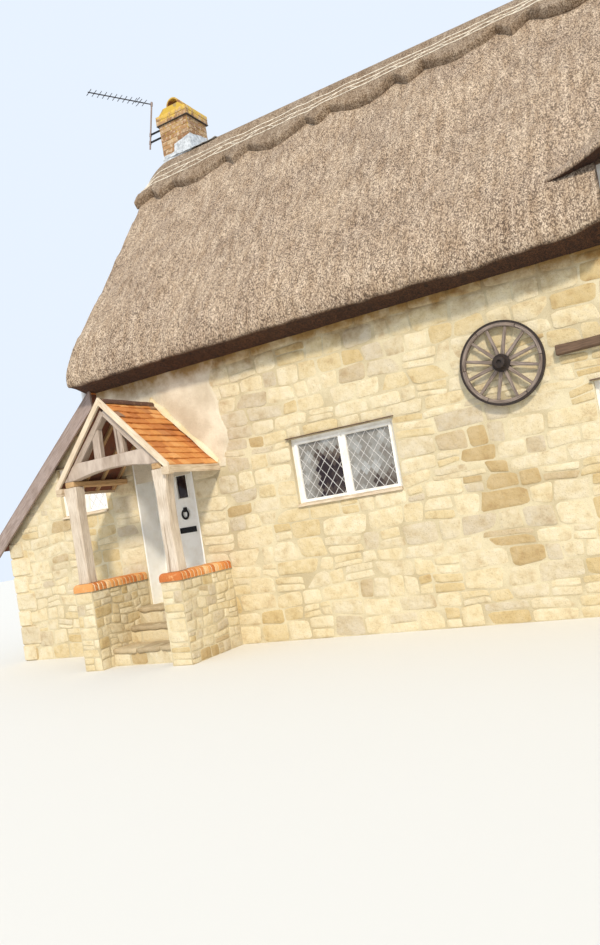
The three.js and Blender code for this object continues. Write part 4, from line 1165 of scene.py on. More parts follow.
def behind_lean_to(u, z):
    """True where the lean-to covers the left gable."""
    return (u < LEAN_DEPTH + 0.12) & (z < LEAN_TOP + 0.15)


def lean_top(x):
    """Top of the lean-to's roof at x."""
    return LEAN_TOP + LEAN_SLOPE * (x + HALF)


def under_lean(x):
    """Underside of the lean-to's roof at x."""
    return lean_top(x) - LEAN_THICK


near, far = CORNER_STONE, HOUSE_DEEP - CORNER_STONE
right = rubble((near, far, 0.0, GABLE_TOP), (HALF, FACE, 0), Y, X, 103, course=0.175, stone=0.33,
               limit=gable_limit)
left = rubble((0.0, far, 0.0, GABLE_TOP), (-HALF, FACE, 0), Y, -X, 104, course=0.175, stone=0.33,
              limit=gable_limit, drop=behind_lean_to)
lean_front = rubble((LEAN_LEFT, -HALF, 0.0, LEAN_FACE_TOP), (0, FACE, 0), X, -Y, 105,
                    [window_hole(LEAN_X, LEAN_LIGHT)], LEAN_LIGHT[1:], 0.19, 0.34, limit=under_lean)
lean_back = rubble((HALF, -LEAN_LEFT, 0.0, LEAN_FACE_TOP), (0, FACE + LEAN_DEPTH, 0), -X, Y, 106,
                   limit=lambda u: under_lean(-u))
lean_end = rubble((0.0, LEAN_DEPTH, 0.0, LEAN_END_TOP), (LEAN_LEFT, FACE, 0), Y, -X, 107)
put("gable_stones", gather([right, left]), LIMESTONE, crease=50)
put("lean_to_stones", gather([lean_front, lean_back, lean_end]), LIMESTONE, crease=50)

# %% [markdown]
# The porch stands on two low walls of small, warm rubble. Each has three faces with stones.

# %% Low walls of the porch
LOW_FRONT, LOW_LONG, LOW_TOP = FACE - 1.1, 1.08, 1.01
LOW_INNER, LOW_OUTER = 0.57, 0.87


def low_wall_edges(side):
    """The left and right edge of a low wall: side is -1 for the left one and 1 for the right one."""
    return sorted([PORCH_MIDDLE + side * LOW_INNER, PORCH_MIDDLE + side * LOW_OUTER])


def low_wall(side, seed):
    """Stones on the front, outer and inner faces of one low wall."""
    near, far = low_wall_edges(side)
    front = rubble((near, far, 0.0, LOW_TOP), (0, LOW_FRONT, 0), X, -Y, seed, stone=0.2, proud=(0.002, 0.007))
    long = (0.0, LOW_LONG, 0.0, LOW_TOP)
    sides = [rubble(long, (x, LOW_FRONT, 0), Y, out, seed + 3 + i, course=0.12, stone=0.19)
             for i, (x, out) in enumerate([(near, -X), (far, X)])]
    return gather([front, *sides])


put("porch_wall_stones", gather([low_wall(-1, 120), low_wall(1, 130)]), LIMESTONE, crease=50)


# %% [markdown]
# Corners are built of larger dressed blocks, laid long and short in turn.

# %% Corner blocks
LONG, SHORT, BLOCK_HIGH, BLOCK_JOINT = 0.42, 0.29, 0.27, 0.012


def quoins(x, y, in_x, in_y, top, seed):
    """Blocks at an upright corner: in_x and in_y point into the two faces, and the long side changes from
    one course to the next. Each stands 18 to 24 mm proud of both faces."""
    rng = np.random.default_rng(seed)
    edges = shares(rng, top, BLOCK_HIGH, 0.15)
    count = len(edges) - 1
    template, faces = block_template(0.06)
    long = np.arange(count) % 2
    size_x = np.where(long, LONG, SHORT) + rng.uniform(-0.03, 0.03, count)
    size_y = np.where(long, SHORT, LONG) + rng.uniform(-0.03, 0.03, count)
    size_z = np.diff(edges) - BLOCK_JOINT
    proud = 0.018 + rng.uniform(0, 0.006, count)
    places = np.column_stack([x + in_x * (size_x / 2 - proud), y + in_y * (size_y / 2 - proud),
                              (edges[1:] + edges[:-1]) / 2])
    sizes = np.column_stack([size_x, size_y, size_z])
    return copies(template, faces, places, np.eye(3), sizes, rng.uniform(0.3, 0.85, count))


house_top, lean_to_top = WALL_TOP - 0.01, LEAN_END_TOP - 0.03
corners = [(HALF, FACE, -1, 1, house_top), (HALF, -FACE, -1, -1, house_top), (-HALF, -FACE, 1, -1, house_top),
           (LEAN_LEFT, FACE, 1, 1, lean_to_top), (LEAN_LEFT, FACE + LEAN_DEPTH, 1, -1, lean_to_top)]
blocks = gather([quoins(*corner, 140 + i) for i, corner in enumerate(corners)])
put("corner_blocks", blocks, LIMESTONE, crease=30)
coat(MORTAR, "front_wall", "front_wall_left", "front_wall_over_door", "back_wall", "left_gable_wall",
     "right_gable_wall", "lean_to_front_wall", "lean_to_back_wall", "lean_to_end_wall", "porch_left_wall",
     "porch_right_wall", "porch_steps")

# %% [markdown]
# ## Chimneys
# The stacks are about half a metre square, in stretcher bond with 8 mm joints: each course is shifted by
# half a brick, and the two top courses step out. Each face is laid separately, as low blocks 6 mm proud
# of the mortar, so that corners show a clean arris.

# %% Chimney bricks
COURSE, BRICK_LONG, BRICK_JOINT, BRICK_PROUD = 0.075, 0.225, 0.008, 0.006
STACK = {"left": -7.515, "right": -6.93, "front": 2.36, "back": 2.925}
STACK_X, STACK_Y = (STACK["left"] + STACK["right"]) / 2, FACE + (STACK["front"] + STACK["back"]) / 2
STACK_FOOT, BAND_LOW, STACK_TOP = 7.1, 8.58, 8.74


def brick_face(origin, along, out, length, bottom, top, seed):
    """Bricks on one upright face: every course is filled from end to end, and odd ones start half a brick
    on. A brick is a cut-edged block that is half sunk in the face."""
    rng = np.random.default_rng(seed)
    template, faces = block_template(0.05)
    rows = int(round((top - bottom) / COURSE))
    height = (top - bottom) / rows
    places, sizes = [], []
    for row in range(rows):
        start = -0.5 * BRICK_LONG * (row % 2)
        edges = np.unique(np.clip(np.append(np.arange(start, length, BRICK_LONG), length), 0, length))
        if edges[-1] - edges[-2] < 0.03:
            edges = np.delete(edges, -2)
        middle = (edges[1:] + edges[:-1]) / 2
        one = np.ones(len(middle))
        across = np.diff(edges) - BRICK_JOINT
        sizes.append(np.column_stack([across, (height - BRICK_JOINT) * one, 0.04 * one]))
        places.append(np.column_stack([middle, (bottom + (row + 0.5) * height) * one]))
    sizes, places = np.concatenate(sizes), np.concatenate(places)
    depth = rng.uniform(BRICK_PROUD - 0.003, BRICK_PROUD + 0.003, len(places)) - 0.02
    placed = np.asarray(origin) + places[:, :1] * along + places[:, 1:] * Z + depth[:, None] * out
    return copies(template, faces, placed, np.stack([along, Z, out]), sizes, rng.random(len(places)))


def stack_bricks(grow, bottom, top, seed):
    """Bricks on all four faces of a stack that stands out by grow from the shaft."""
    left, right = STACK["left"] - grow, STACK["right"] + grow
    front, back = FACE + STACK["front"] - grow, FACE + STACK["back"] + grow
    wide, deep = right - left, back - front
    sides = [((left, front, 0), X, -Y, wide), ((left, back, 0), X, Y, wide), ((left, front, 0), Y, -X, deep),
             ((right, front, 0), Y, X, deep)]
    return gather([brick_face(*side, bottom, top, seed + i) for i, side in enumerate(sides)])


def chimney():
    """The shaft from inside the thatch to the band, and the band's two courses."""
    parts = [(0.0, STACK_FOOT, BAND_LOW, 201), (0.03, BAND_LOW, STACK_TOP, 211)]
    return gather([stack_bricks(*part) for part in parts])


def slate_course():
    """A thin slate drip under the band, its dark colour partly painted shadow of the band: a flat hoop of
    four sides that stands 6 mm out from it.
    """
    half_x, half_y = (STACK["right"] - STACK["left"]) / 2, (STACK["back"] - STACK["front"]) / 2
    corners = np.array([(-1, -1), (1, -1), (1, 1), (-1, 1)])
    section = [(-0.01, -0.005), (0.036, -0.005), (0.036, 0.004), (-0.01, 0.004)]
    return hoop(np.array([[(STACK_X + a * (half_x + d), STACK_Y + b * (half_y + d), BAND_LOW + z)
                           for d, z in section] for a, b in corners]))


put("left_chimney_bricks", chimney(), BRICK, crease=30)
put("right_chimney_bricks", half_turn(chimney()), BRICK, crease=30)
put("chimney_drip_slates_and_shadow", gather([slate_course(), half_turn(slate_course())]), SLATE_AND_SHADOW, crease=30)
coat(FLAUNCHING, "left_chimney", "right_chimney")

# %% [markdown]
# A half-round tile on a bed of mortar keeps the rain out of the flue. It is an arch with a thickness,
# carried along Y, and mortar is heaped against its foot.

# %% Chimney tops
BED_HIGH, BED_HALF_X, BED_HALF_Y = 0.115, 0.318, 0.308


def arch_section(radius, wall, angles):
    """An outer arc and back along an inner one: (across, up) is the radius times cos and sin."""
    arc = np.column_stack([np.cos(angles), np.sin(angles)])
    return np.concatenate([radius * arc, (radius - wall) * arc[::-1]])


def half_round(centre, radius, wall, length):
    """A half-round tile along Y, a little smaller at both ends."""
    across, up = arch_section(radius, wall, np.linspace(0, np.pi, 15)).T
    y = np.array([[-0.5], [-0.485], [0.485], [0.5]]) * length
    scale = np.array([[0.985], [1.0], [1.0], [0.985]])
    x, z = centre[0] + scale * across, centre[2] + scale * up
    return arched(np.stack([x, np.broadcast_to(centre[1] + y, x.shape), z], -1), 0.3)


def mortar_bed():
    """A low mound on the stack's top: its height falls with a rounded square's distance from the middle."""
    a, b = np.meshgrid(np.linspace(-1, 1, 25), np.linspace(-1, 1, 25), indexing="ij")
    away = (np.abs(a) ** 5 + np.abs(b) ** 5) ** 0.2
    x, y = STACK_X + a * BED_HALF_X, STACK_Y + b * BED_HALF_Y
    lumps = 0.012 * ripple(a, b, 0.8, 220) * ease((0.95 - away) / 0.3)
    z = STACK_TOP + 0.004 + BED_HIGH * ease((1.04 - away) / 0.5) + lumps
    return sheet(np.stack([x, y, z], -1), np.stack([x, y, 0 * z + STACK_TOP - 0.02], -1))


cap_tile = half_round((STACK_X, STACK_Y, STACK_TOP + 0.15), 0.13, 0.022, 0.43)
put("left_cap_tile", cap_tile, CAP_TILE, replaces=["left_chimney_cap"])
put("right_cap_tile", half_turn(cap_tile), CAP_TILE, replaces=["right_chimney_cap"])
put("chimney_mortar", gather([mortar_bed(), half_turn(mortar_bed())]), FLAUNCHING)

# %% [markdown]
# ## Tiled roofs
# Plain tiles lie in courses with half a tile's shift, and each course rests on the one below, so every
# tile is a little flatter in the air than the roof: its tail stands up 30 mm and its head lies on the
# batten. A tile is 165 by 190 by 17 mm with a slight camber. Repeating one small closed tile with its own
# place, turn and tone gives the wavy course lines that a handmade roof has. One in twenty is grey.

# %% Tiles
TILE_WIDE, TILE_LONG, TILE_THICK = 0.165, 0.190, 0.017
TILE_TILT = 0.16


def tile_template():
    """One tile: 4 by 3 points on top and below. Its top is lifted in the middle by 4 mm, and its tail bends
    down by 3 mm."""
    u, v = np.meshgrid(np.linspace(-0.5, 0.5, 4), np.linspace(0, 1, 3), indexing="ij")
    lift = 0.004 * (1 - (2 * u) ** 2) - 0.003 * (1 - v) ** 2
    top = np.stack([u * (TILE_WIDE - 0.003), v * TILE_LONG, lift + TILE_THICK], -1).reshape(-1, 3)
    return np.concatenate([top, top - (0, 0, TILE_THICK)]), [np.concatenate(sheet_faces(*u.shape))]


def tile_slope(foot, along, up, width, length, courses, seed, wobble=0.004):
    """Tiles on a slope: foot is its lower corner, along its eave and up its rise. Tails stand off the slope
    and each tile is turned and lifted a little by a ripple over the whole roof."""
    rng = np.random.default_rng(seed)
    gauge = length / courses
    out = np.cross(along, up)
    places, axes, sizes, tones = [], [], [], []
    count = int(math.ceil(width / TILE_WIDE))
    pitch = width / count
    for course in range(courses):
        odd = course % 2
        middle = np.clip((np.arange(count + odd) + 0.5 - 0.5 * odd) * pitch, pitch * 0.5, width - pitch * 0.5)
        level = np.full(len(middle), course * gauge)
        sway = wobble * ripple(middle, level, 0.9, seed + 1) + rng.normal(0, 0.0025, len(middle))
        lift = 0.006 * ripple(middle, level, 0.7, seed + 2) + rng.uniform(0, 0.004, len(middle))
        tilt = TILE_TILT + rng.normal(0, 0.010, len(middle))
        roll = rng.normal(0, 0.010, len(middle))
        spin = rng.normal(0, 0.008, len(middle))
        up_axis = np.cos(tilt)[:, None] * up - np.sin(tilt)[:, None] * out + spin[:, None] * along
        across = np.broadcast_to(along, up_axis.shape) + roll[:, None] * out - spin[:, None] * up
        axes.append(np.stack([across, up_axis, np.cross(across, up_axis)], 1))
        fits = min(1.0, (length - course * gauge) / TILE_LONG)
        sizes.append(np.tile([1.0, fits, 1.0], (len(middle), 1)))
        step, tail = (level + sway)[:, None] * up, (0.014 + lift)[:, None] * out
        places.append(np.asarray(foot) + middle[:, None] * along + step + tail)
        plain = 0.45 + 0.15 * ripple(middle, level, 1.1, seed + 3) + rng.normal(0, 0.17, len(middle))
        grey = rng.random(len(middle)) < 0.05
        tones.append(np.where(grey, rng.uniform(0.9, 1.0, len(middle)), np.clip(plain, 0, 0.86)))
    return copies(*tile_template(), *[np.concatenate(values) for values in (places, axes, sizes, tones)])


def ridge_tiles(start, along, count, length, radius, seed):
    """Half-round ridge tiles in a row, each a little turned."""
    rng = np.random.default_rng(seed)
    section = arch_section(radius, 0.014, np.linspace(-0.15, np.pi + 0.15, 13))
    side = np.cross(along, Z)
    parts = []
    for i in range(count):
        steps = (np.array([0.0, 0.02, 0.98, 1.0]) + i) * length / count + rng.normal(0, 0.002)
        points = (np.asarray(start) + steps[:, None, None] * along + section[None, :, :1] * side
                  + (section[None, :, 1:] + rng.normal(0, 0.003)) * Z)
        parts.append(arched(points, rng.uniform(0.1, 0.6)))
    return gather(parts)


# %% Porch roof
PORCH_FRONT = FACE - 1.06
PORCH_DEEP = 1.05
PORCH_ANGLE = math.atan(PORCH_RISE)
PORCH_LONG = PORCH_HALF / math.cos(PORCH_ANGLE)
PORCH_COURSES, LEAN_COURSES = 11, 26
TILES_SUNK = 0.042


def porch_slope(side, seed):
    """One slope: its foot is at the outer edge, and tiles run up to the ridge."""
    up = np.array([-side * math.cos(PORCH_ANGLE), 0, math.sin(PORCH_ANGLE)])
    along = Y if side > 0 else -Y
    start = FACE - PORCH_DEEP - 0.01 if side > 0 else FACE - 0.003
    foot = np.array([PORCH_MIDDLE + side * PORCH_HALF, start, PORCH_TOP - PORCH_RISE * PORCH_HALF])
    foot -= TILES_SUNK * np.cross(along, up)
    return tile_slope(foot, along, up, PORCH_DEEP, PORCH_LONG - 0.01, PORCH_COURSES, seed, wobble=0.010)


def slope_slab(side, upper, lower, front, back, reach):
    """A board that follows one slope between two depths below its surface."""
    x = np.array([0.0, side * reach]) + PORCH_MIDDLE
    z = porch_line(x)
    section = [(x[0], z[0] - upper), (x[1], z[1] - upper), (x[1], z[1] - lower), (x[0], z[0] - lower)]
    return rings(np.array([[(a, y, b) for a, b in section] for y in (front, back)]), 0.4)


tiles = gather([porch_slope(1, 301), porch_slope(-1, 311)])
put("porch_tiles", tiles, CLAY_TILE, replaces=["porch_roof"], crease=30)
first = PORCH_FRONT + 0.012
under = gather([slope_slab(s, 0.090, 0.102, first, FACE - 0.002, 0.92) for s in (-1, 1)])
put("porch_tile_backs", under, UNDER_TILE)
ridge = ridge_tiles((PORCH_MIDDLE, first, PORCH_TOP - 0.060), Y, 4, 1.04, 0.058, 320)
put("porch_ridge_tiles", ridge, RIDGE_TILE)

# %% Lean-to roof
LEAN_ANGLE = math.atan(LEAN_SLOPE)
LEAN_EAVE, LEAN_WALL = LEAN_LEFT - 0.17, -HALF - 0.001
up = np.array([math.cos(LEAN_ANGLE), 0, math.sin(LEAN_ANGLE)])
foot = np.array([LEAN_EAVE, FACE + LEAN_DEPTH + 0.1, lean_top(LEAN_EAVE)])
foot += 0.008 * up - TILES_SUNK * np.cross(-Y, up)
rise = (-HALF - LEAN_EAVE) / math.cos(LEAN_ANGLE) - 0.03
lean_tiles = tile_slope(foot, -Y, up, LEAN_DEPTH + 0.2, rise, LEAN_COURSES, 331)
put("lean_to_tiles", lean_tiles, CLAY_TILE, replaces=["lean_to_roof"], crease=30)
corners = [(LEAN_EAVE, -0.050), (LEAN_WALL, -0.050), (LEAN_WALL, -0.14), (LEAN_EAVE, -0.14)]
deck = np.array([[(x, y, lean_top(x) + d) for x, d in corners]
                 for y in (FACE - 0.098, FACE + LEAN_DEPTH + 0.098)])
put("lean_to_deck", rings(deck, 0.4), UNDER_TILE)

# %% [markdown]
# ## Timbers
# Old oak is sawn or hewn, never quite straight, and its edges are worn round. A timber here is a path of
# centres with a width and a depth at each, and an eight-sided section with cut corners. Slow ripples move
# its sides by a few millimetres. The UV map runs across and along, which is what the wood materials read.

# %% Timbers
SECTION = np.array([(-1, -1), (-1, 1), (1, 1), (1, -1)], float)


def timber(centres, side, other, half_side, half_other, seed, cut=0.012, sway=0.004):
    """A beam: at each centre stands a rectangle with cut corners. A corner point is the centre plus its
    share of half_side x side and half_other x other, less the cut. The ends are a tenth smaller."""
    rng = np.random.default_rng(seed)
    centres = np.asarray(centres, float)
    n = len(centres)
    half_side, half_other = [np.broadcast_to(half, (n,)) for half in (half_side, half_other)]
    run = run_of(centres)
    corners = []
    for i, (a, b) in enumerate(SECTION):
        for ca, cb in ((1, 0), (0, 1)):
            wave = sway * ripple(run, np.full(n, i * 3.0), 1.3, seed + i)
            across, down = half_side - ca * cut + wave * 0.6, half_other - cb * cut + wave * 0.6
            corners.append((a * across, b * down))
    across, down = np.transpose(corners, (1, 2, 0))
    order = np.argsort(np.arctan2(down[0] / half_other[0], across[0] / half_side[0]))
    across, down = across[:, order], down[:, order]
    points = centres[:, None] + across[..., None] * np.asarray(side) + down[..., None] * np.asarray(other)
    middles = centres[[0, -1], None]
    ends = middles + (points[[0, -1]] - middles) * 0.9
    inwards = unit(centres[-1] - centres[0]) * cut * 0.5
    points[0] += inwards
    points[-1] -= inwards
    points = np.concatenate([ends[:1], points, ends[1:]])
    along = np.concatenate([[-0.02], run, [run[-1] + 0.02]])
    uv = np.stack(np.meshgrid(run_of(points[1]), along), -1) + rng.uniform(0, 20, 2)
    return rings(points, rng.uniform(0.3, 1), uv)


def straight(start, end, side, half_side, half_other, seed, count=9, **finish):
    """A timber between two points; its third axis is square to its length and to side."""
    start, end = np.asarray(start, float), np.asarray(end, float)
    other = unit(np.cross(unit(end - start), side))
    path = start + (end - start) * np.linspace(0, 1, count)[:, None]
    return timber(path, side, other, half_side, half_other, seed, **finish)


def board_along(x, y, z, section, around, run, seed, tone):
    """A board that follows a line (x, y, z): its section's (outward, upward) corners stand off the line.
    The UV map is the distance round it and the run along it."""
    still = 0 * x
    ring = np.stack([np.column_stack([x, still + y + out, still + z + up]) for out, up in section], 1)
    return rings(ring, tone, np.stack(np.meshgrid(around, run), -1) + seed)


# %% [markdown]
# The porch's posts stand on the low walls. Each widens at its head where it takes the plate, as an upside
# down tree trunk does: a jowl. The tie beam is one cambered piece, so its underside is an arch.

# %% Porch frame
POST_FRONT, POST_DEEP, POST_X = FACE - 1.05, 0.17, 0.735
POST_FOOT, POST_HEAD, PLATE_LEVEL = 1.118, 2.387, 2.425
TRUSS_Y = POST_FRONT + 0.06
TRUSS_DROP, TRUSS_RISE = 0.098, 0.13
TIE_LOW, TIE_TOP = 2.462, 2.678


def post(side, seed):
    """A post of 170 mm that swells to 214 mm at its head, mostly towards the outside."""
    z = np.linspace(POST_FOOT, POST_HEAD, 15)
    t = (z - POST_FOOT) / (POST_HEAD - POST_FOOT)
    jowl = 0.022 * ease((t - 0.74) / 0.22)
    foot = 0.006 * ease((0.12 - t) / 0.12)
    half = POST_DEEP / 2 + jowl + foot
    x = PORCH_MIDDLE + side * (POST_X + jowl * 0.5) + 0.005 * waver(z, 0.9, seed)
    y = np.full(len(z), POST_FRONT + POST_DEEP / 2)
    return timber(np.column_stack([x, y, z]), X, Y, half, POST_DEEP / 2 + foot, seed, cut=0.014)


def plate(side, seed):
    """The wall plate: it runs from the truss back to the house wall."""
    x = PORCH_MIDDLE + side * POST_X
    ends = (x, FACE - 1.048, PLATE_LEVEL), (x, FACE - 0.003, PLATE_LEVEL)
    return straight(*ends, X, 0.075, 0.035, seed, cut=0.008, sway=0.002)


def rafter_pair(y, half_thick, rise, reach, seed, drop=TRUSS_DROP):
    """Two rafters that meet at the ridge: each follows the slope between drop and drop + rise below it."""
    x = np.array([0.002, reach])
    z = PORCH_TOP - PORCH_RISE * x - drop - rise / 2 - (0.01, 0)
    half = rise * math.cos(PORCH_ANGLE) / 2
    parts = []
    for side in (-1, 1):
        ends = np.column_stack([PORCH_MIDDLE + side * x, (y, y), z])
        parts.append(straight(*ends, Y, half_thick, half, seed + side, cut=0.008))
    return gather(parts)


def tie_beam(seed):
    """The cambered beam: its top is level, and its underside rises 60 mm to the middle. It narrows to a
    point where the rafters' slope cuts its ends."""
    x = np.linspace(-0.812, 0.812, 27)
    low = TIE_LOW + 0.06 * np.clip(1 - (x / 0.62) ** 2, 0, 1)
    high = np.maximum(np.minimum(TIE_TOP, porch_line(PORCH_MIDDLE + x) - 0.097), low + 0.02)
    centre = np.column_stack([PORCH_MIDDLE + x, np.full(len(x), TRUSS_Y), (low + high) / 2])
    return timber(centre, Z, Y, (high - low) / 2, 0.062, seed, cut=0.009, sway=0.002)


def strut(side, seed):
    """A short upright between the tie beam and a rafter, leaning in slightly."""
    x = PORCH_MIDDLE + side * 0.185
    top = porch_line(x) - TRUSS_DROP - 0.066
    foot = (x + side * 0.008, TRUSS_Y, TIE_TOP - 0.013)
    return straight(foot, (x, TRUSS_Y, top), X, 0.060, 0.048, seed)


put("porch_left_post_oak", post(-1, 401), PALE_OAK, replaces=["porch_left_post"], crease=30)
put("porch_right_post_oak", post(1, 402), PALE_OAK, replaces=["porch_right_post"], crease=30)
put("porch_plates_oak", gather([plate(-1, 403), plate(1, 404)]), WARM_OAK,
    replaces=["porch_left_plate", "porch_right_plate"], crease=30)
put("porch_tie_beam", tie_beam(405), OAK, replaces=["porch_truss"], crease=30)
struts = gather([rafter_pair(TRUSS_Y, 0.058, TRUSS_RISE, 0.645, 410), strut(-1, 412), strut(1, 413)])
put("porch_rafters_and_struts", struts, OAK, crease=30)
common = [rafter_pair(FACE - y, 0.026, 0.075, 0.90, 420 + i, drop=0.084)
          for i, y in enumerate((0.06, 0.38, 0.70))]
put("porch_common_rafters", gather(common), WARM_OAK, crease=30)

# %% [markdown]
# The gable of the porch is faced with pale boards. A narrow strip below each slope closes the eave, and a
# small block at the foot of each board, the kneeler, boxes in the eave's end.

# %% Porch boards
BARGE_Y = FACE - 1.0783
EAVE_LEVEL, EAVE_OUT, KNEELER_OUT = 2.355, 0.932, 0.893


def barge(side, seed):
    """A facing board: 102 mm deep, its top 12 mm above the tiles."""
    x = np.linspace(0.0, PORCH_HALF - 0.002, 11)
    section = [(-0.017, -0.090), (-0.017, 0.012), (0.017, 0.012), (0.017, -0.090)]
    return board_along(PORCH_MIDDLE + side * x, BARGE_Y, PORCH_TOP - PORCH_RISE * x, section,
                       [0, 0.1, 0.13, 0.23], x / math.cos(PORCH_ANGLE), seed, 0.9)


def eaves_strip(side, seed):
    """The board under the tiles' tails, along the eave."""
    x = PORCH_MIDDLE + side * EAVE_OUT
    ends = (x, FACE - 1.06, EAVE_LEVEL), (x, FACE - 0.004, EAVE_LEVEL)
    return straight(*ends, Z, 0.045, 0.011, seed, cut=0.002)


def kneeler(side, seed):
    """The small box at the foot of a facing board."""
    x, z = PORCH_MIDDLE + side * KNEELER_OUT, EAVE_LEVEL - 0.01
    ends = (x, FACE - 1.096, z), (x, FACE - 0.985, z)
    return straight(*ends, X, 0.052, 0.048, seed, count=4, cut=0.003)


boards = [barge(-1, 1.3), barge(1, 5.1), eaves_strip(-1, 432), eaves_strip(1, 433)]
boards += [kneeler(-1, 434), kneeler(1, 435)]
put("porch_boards", gather(boards), EAVES_BOARD, replaces=["porch_barge"], crease=30)

# %% [markdown]
# Where the tiles meet the house a fillet of mortar seals the joint. It is a rounded strip along the slope.
# The wall over the roof is rendered smooth, a skin that ends raggedly against the stones.

# %% Fillet and render
def fillet(side):
    """A quarter-round strip of mortar along the wall, its radius wavering about 55 mm."""
    x = np.linspace(0.0, PORCH_HALF, 40)
    a = np.linspace(0, 0.5 * np.pi, 7)
    radius = (0.055 + 0.010 * waver(x, 0.35, 440 + side))[:, None, None]
    z = PORCH_TOP - PORCH_RISE * x - 0.012
    base = np.column_stack([PORCH_MIDDLE + side * x, np.full(40, FACE + 0.004), z])[:, None]
    arc = base + radius * np.column_stack([0 * a, -1.25 * np.cos(a), 1.45 * np.sin(a)])
    back = base + np.array([(0, 0.02, 0.09), (0, 0.02, -0.03)])
    return rings(np.concatenate([arc, back], 1))


def render_skin():
    """A skin 15 mm proud over the porch roof: its depth falls to nothing at a ragged outline."""
    x, z = np.meshgrid(np.linspace(-7.69, -5.45, 90), np.linspace(2.35, 3.845, 60), indexing="ij")
    ragged = 0.10 * ripple(x, z, 0.6, 450)
    inside = np.minimum(-5.62 + ragged - x, z - porch_line(x) + 0.10)
    depth = 0.019 * ease(inside / 0.05) - 0.004 + 0.003 * ripple(x, z, 0.4, 451)
    return sheet(np.stack([x, FACE - depth, z], -1), np.stack([x, 0 * x + FACE + 0.015, z], -1))


put("porch_fillet", gather([fillet(-1), fillet(1)]), FILLET)
put("wall_render", render_skin(), RENDER, crease=60)

# %% [markdown]
# Bricks on edge cap the low walls: each lies across the wall with its end showing as a rounded nose. They
# are laid as rings of a bullnosed outline, one for each brick, with a pale joint between.

# %% Copings
COPING_LOW, COPING_ROUND, COPING_STEP = 1.016, 0.052, 0.0744


def coping_brick(left, right, start, thick, seed, top=1.120, nose=False):
    """One brick across the wall from left to right, rounded by 52 mm on both upper edges. A nose is rounded
    towards the front as well: its outline grows over the first 40 mm along a quarter circle."""
    rng = np.random.default_rng(seed)
    a, t = np.linspace(0, 0.5 * np.pi, 5), np.linspace(0, 1, 6)
    top, low, r = top + rng.normal(0, 0.0015), COPING_LOW, COPING_ROUND
    lean = rng.normal(0, 0.0015)
    ends = [(left + r * (1 - math.cos(angle)), top - r + r * math.sin(angle)) for angle in a]
    outline = np.array([(left, low), *ends, *[(left + right - p, q) for p, q in ends[::-1]], (right, low)])
    grow = np.sqrt(1 - (1 - t) ** 2)
    round_front = 0.040 * t, 0.80 + 0.20 * grow, 0.52 + 0.48 * grow
    front = round_front if nose else ([0.0, 0.006], [0.98, 1], [0.96, 1])
    back = [thick - 0.006, thick], [1, 0.98], [1, 0.96]
    y, wide, high = [np.concatenate(pair)[:, None] for pair in zip(front, back)]
    middle = 0.5 * (left + right)
    x, z = middle + wide * (outline[:, 0] - middle) + lean, low + high * (outline[:, 1] - low)
    return rings(np.stack([x, np.broadcast_to(y + start, x.shape), z], -1), rng.random())


def coping_row(side, seed):
    """Bricks of 60 mm and joints of 14 mm, from the front nose back to the house."""
    near, far = low_wall_edges(side)
    starts = FACE - 1.12 + COPING_STEP * np.arange(15)
    return gather([coping_brick(near - 0.02, far + 0.02, y, 0.060, seed + i, nose=i == 0)
                   for i, y in enumerate(starts)])


for name, side in (("porch_left_coping", -1), ("porch_right_coping", 1)):
    near, far = low_wall_edges(side)
    bed = coping_brick(near - 0.014, far + 0.014, FACE - 1.070, 1.069, 450 + side, top=1.115)
    put(name + "_bed", bed, FILLET, replaces=[name])
    put(name + "_bricks", coping_row(side, 460 + 40 * (side + 1)), COPING_BRICK, crease=35)


# %% [markdown]
# The steps are thick brown slabs on risers of cream blocks. Each tread is laid from two or three slabs with
# open joints: their noses are rounded and ragged, and a little hollow in the middle, where feet fall.

# %% Steps
def tread(left, right, front, back, top, thick, seed):
    """A slab: across it the nose wavers by 12 mm and is rounder at its ends, and its top sinks by 6 mm
    towards the middle of the flight."""
    x = np.linspace(left, right, 22)
    u = (x - left) / (right - left)
    worn = 0.006 * np.cos(0.5 * np.pi * np.clip((x - PORCH_MIDDLE) / LOW_INNER, -1, 1)) ** 2
    nose = front + 0.009 * waver(x, 0.3, seed) + 0.02 * (1 - ease(np.minimum(u, 1 - u) / 0.1))
    a = np.linspace(-0.5 * np.pi, 0.5 * np.pi, 7)
    r = thick / 2
    arc_y = nose[:, None] + r * 0.6 * (1 - np.cos(a))[None]
    arc_z = (top - r - worn)[:, None] + r * np.sin(a)[None] + 0.004 * ripple(x[:, None], arc_y, 0.2, seed + 1)
    y = np.column_stack([arc_y, np.full((22, 2), back)])
    z = np.column_stack([arc_z, top - worn * 0.3, np.full(22, top - thick)])
    return rings(np.stack([np.broadcast_to(x[:, None], y.shape), y, z], -1), 0.3 + 0.5 * (seed % 3) / 2)


RISE, SLAB_THICK = 0.65 / 3, 0.066
STEP_LEFT, STEP_RIGHT = PORCH_MIDDLE - 0.566, PORCH_MIDDLE + 0.566
STEPS = [(-0.88, -0.45, (0.0, 0.36, 0.70, 1.0)), (-0.50, -0.23, (0.0, 0.72, 1.0)),
         (-0.28, -0.03, (0.0, 0.62, 1.0))]
treads, risers = [], []
for step, (y, back, cuts) in enumerate(STEPS):
    places, top = STEP_LEFT + (STEP_RIGHT - STEP_LEFT) * np.array(cuts), RISE * (step + 1)
    for slab, (a, b) in enumerate(zip(places[:-1], places[1:])):
        ends = a + 0.005, b - 0.005, FACE + y - 0.03, FACE + back
        treads.append(tread(*ends, top + 0.006, SLAB_THICK, 470 + 4 * step + slab))
    face = (STEP_LEFT, STEP_RIGHT, RISE * step, top - 0.058)
    risers.append(rubble(face, (0, FACE + y, 0), X, -Y, 485 + step, stone=0.3, proud=(0.001, 0.005)))
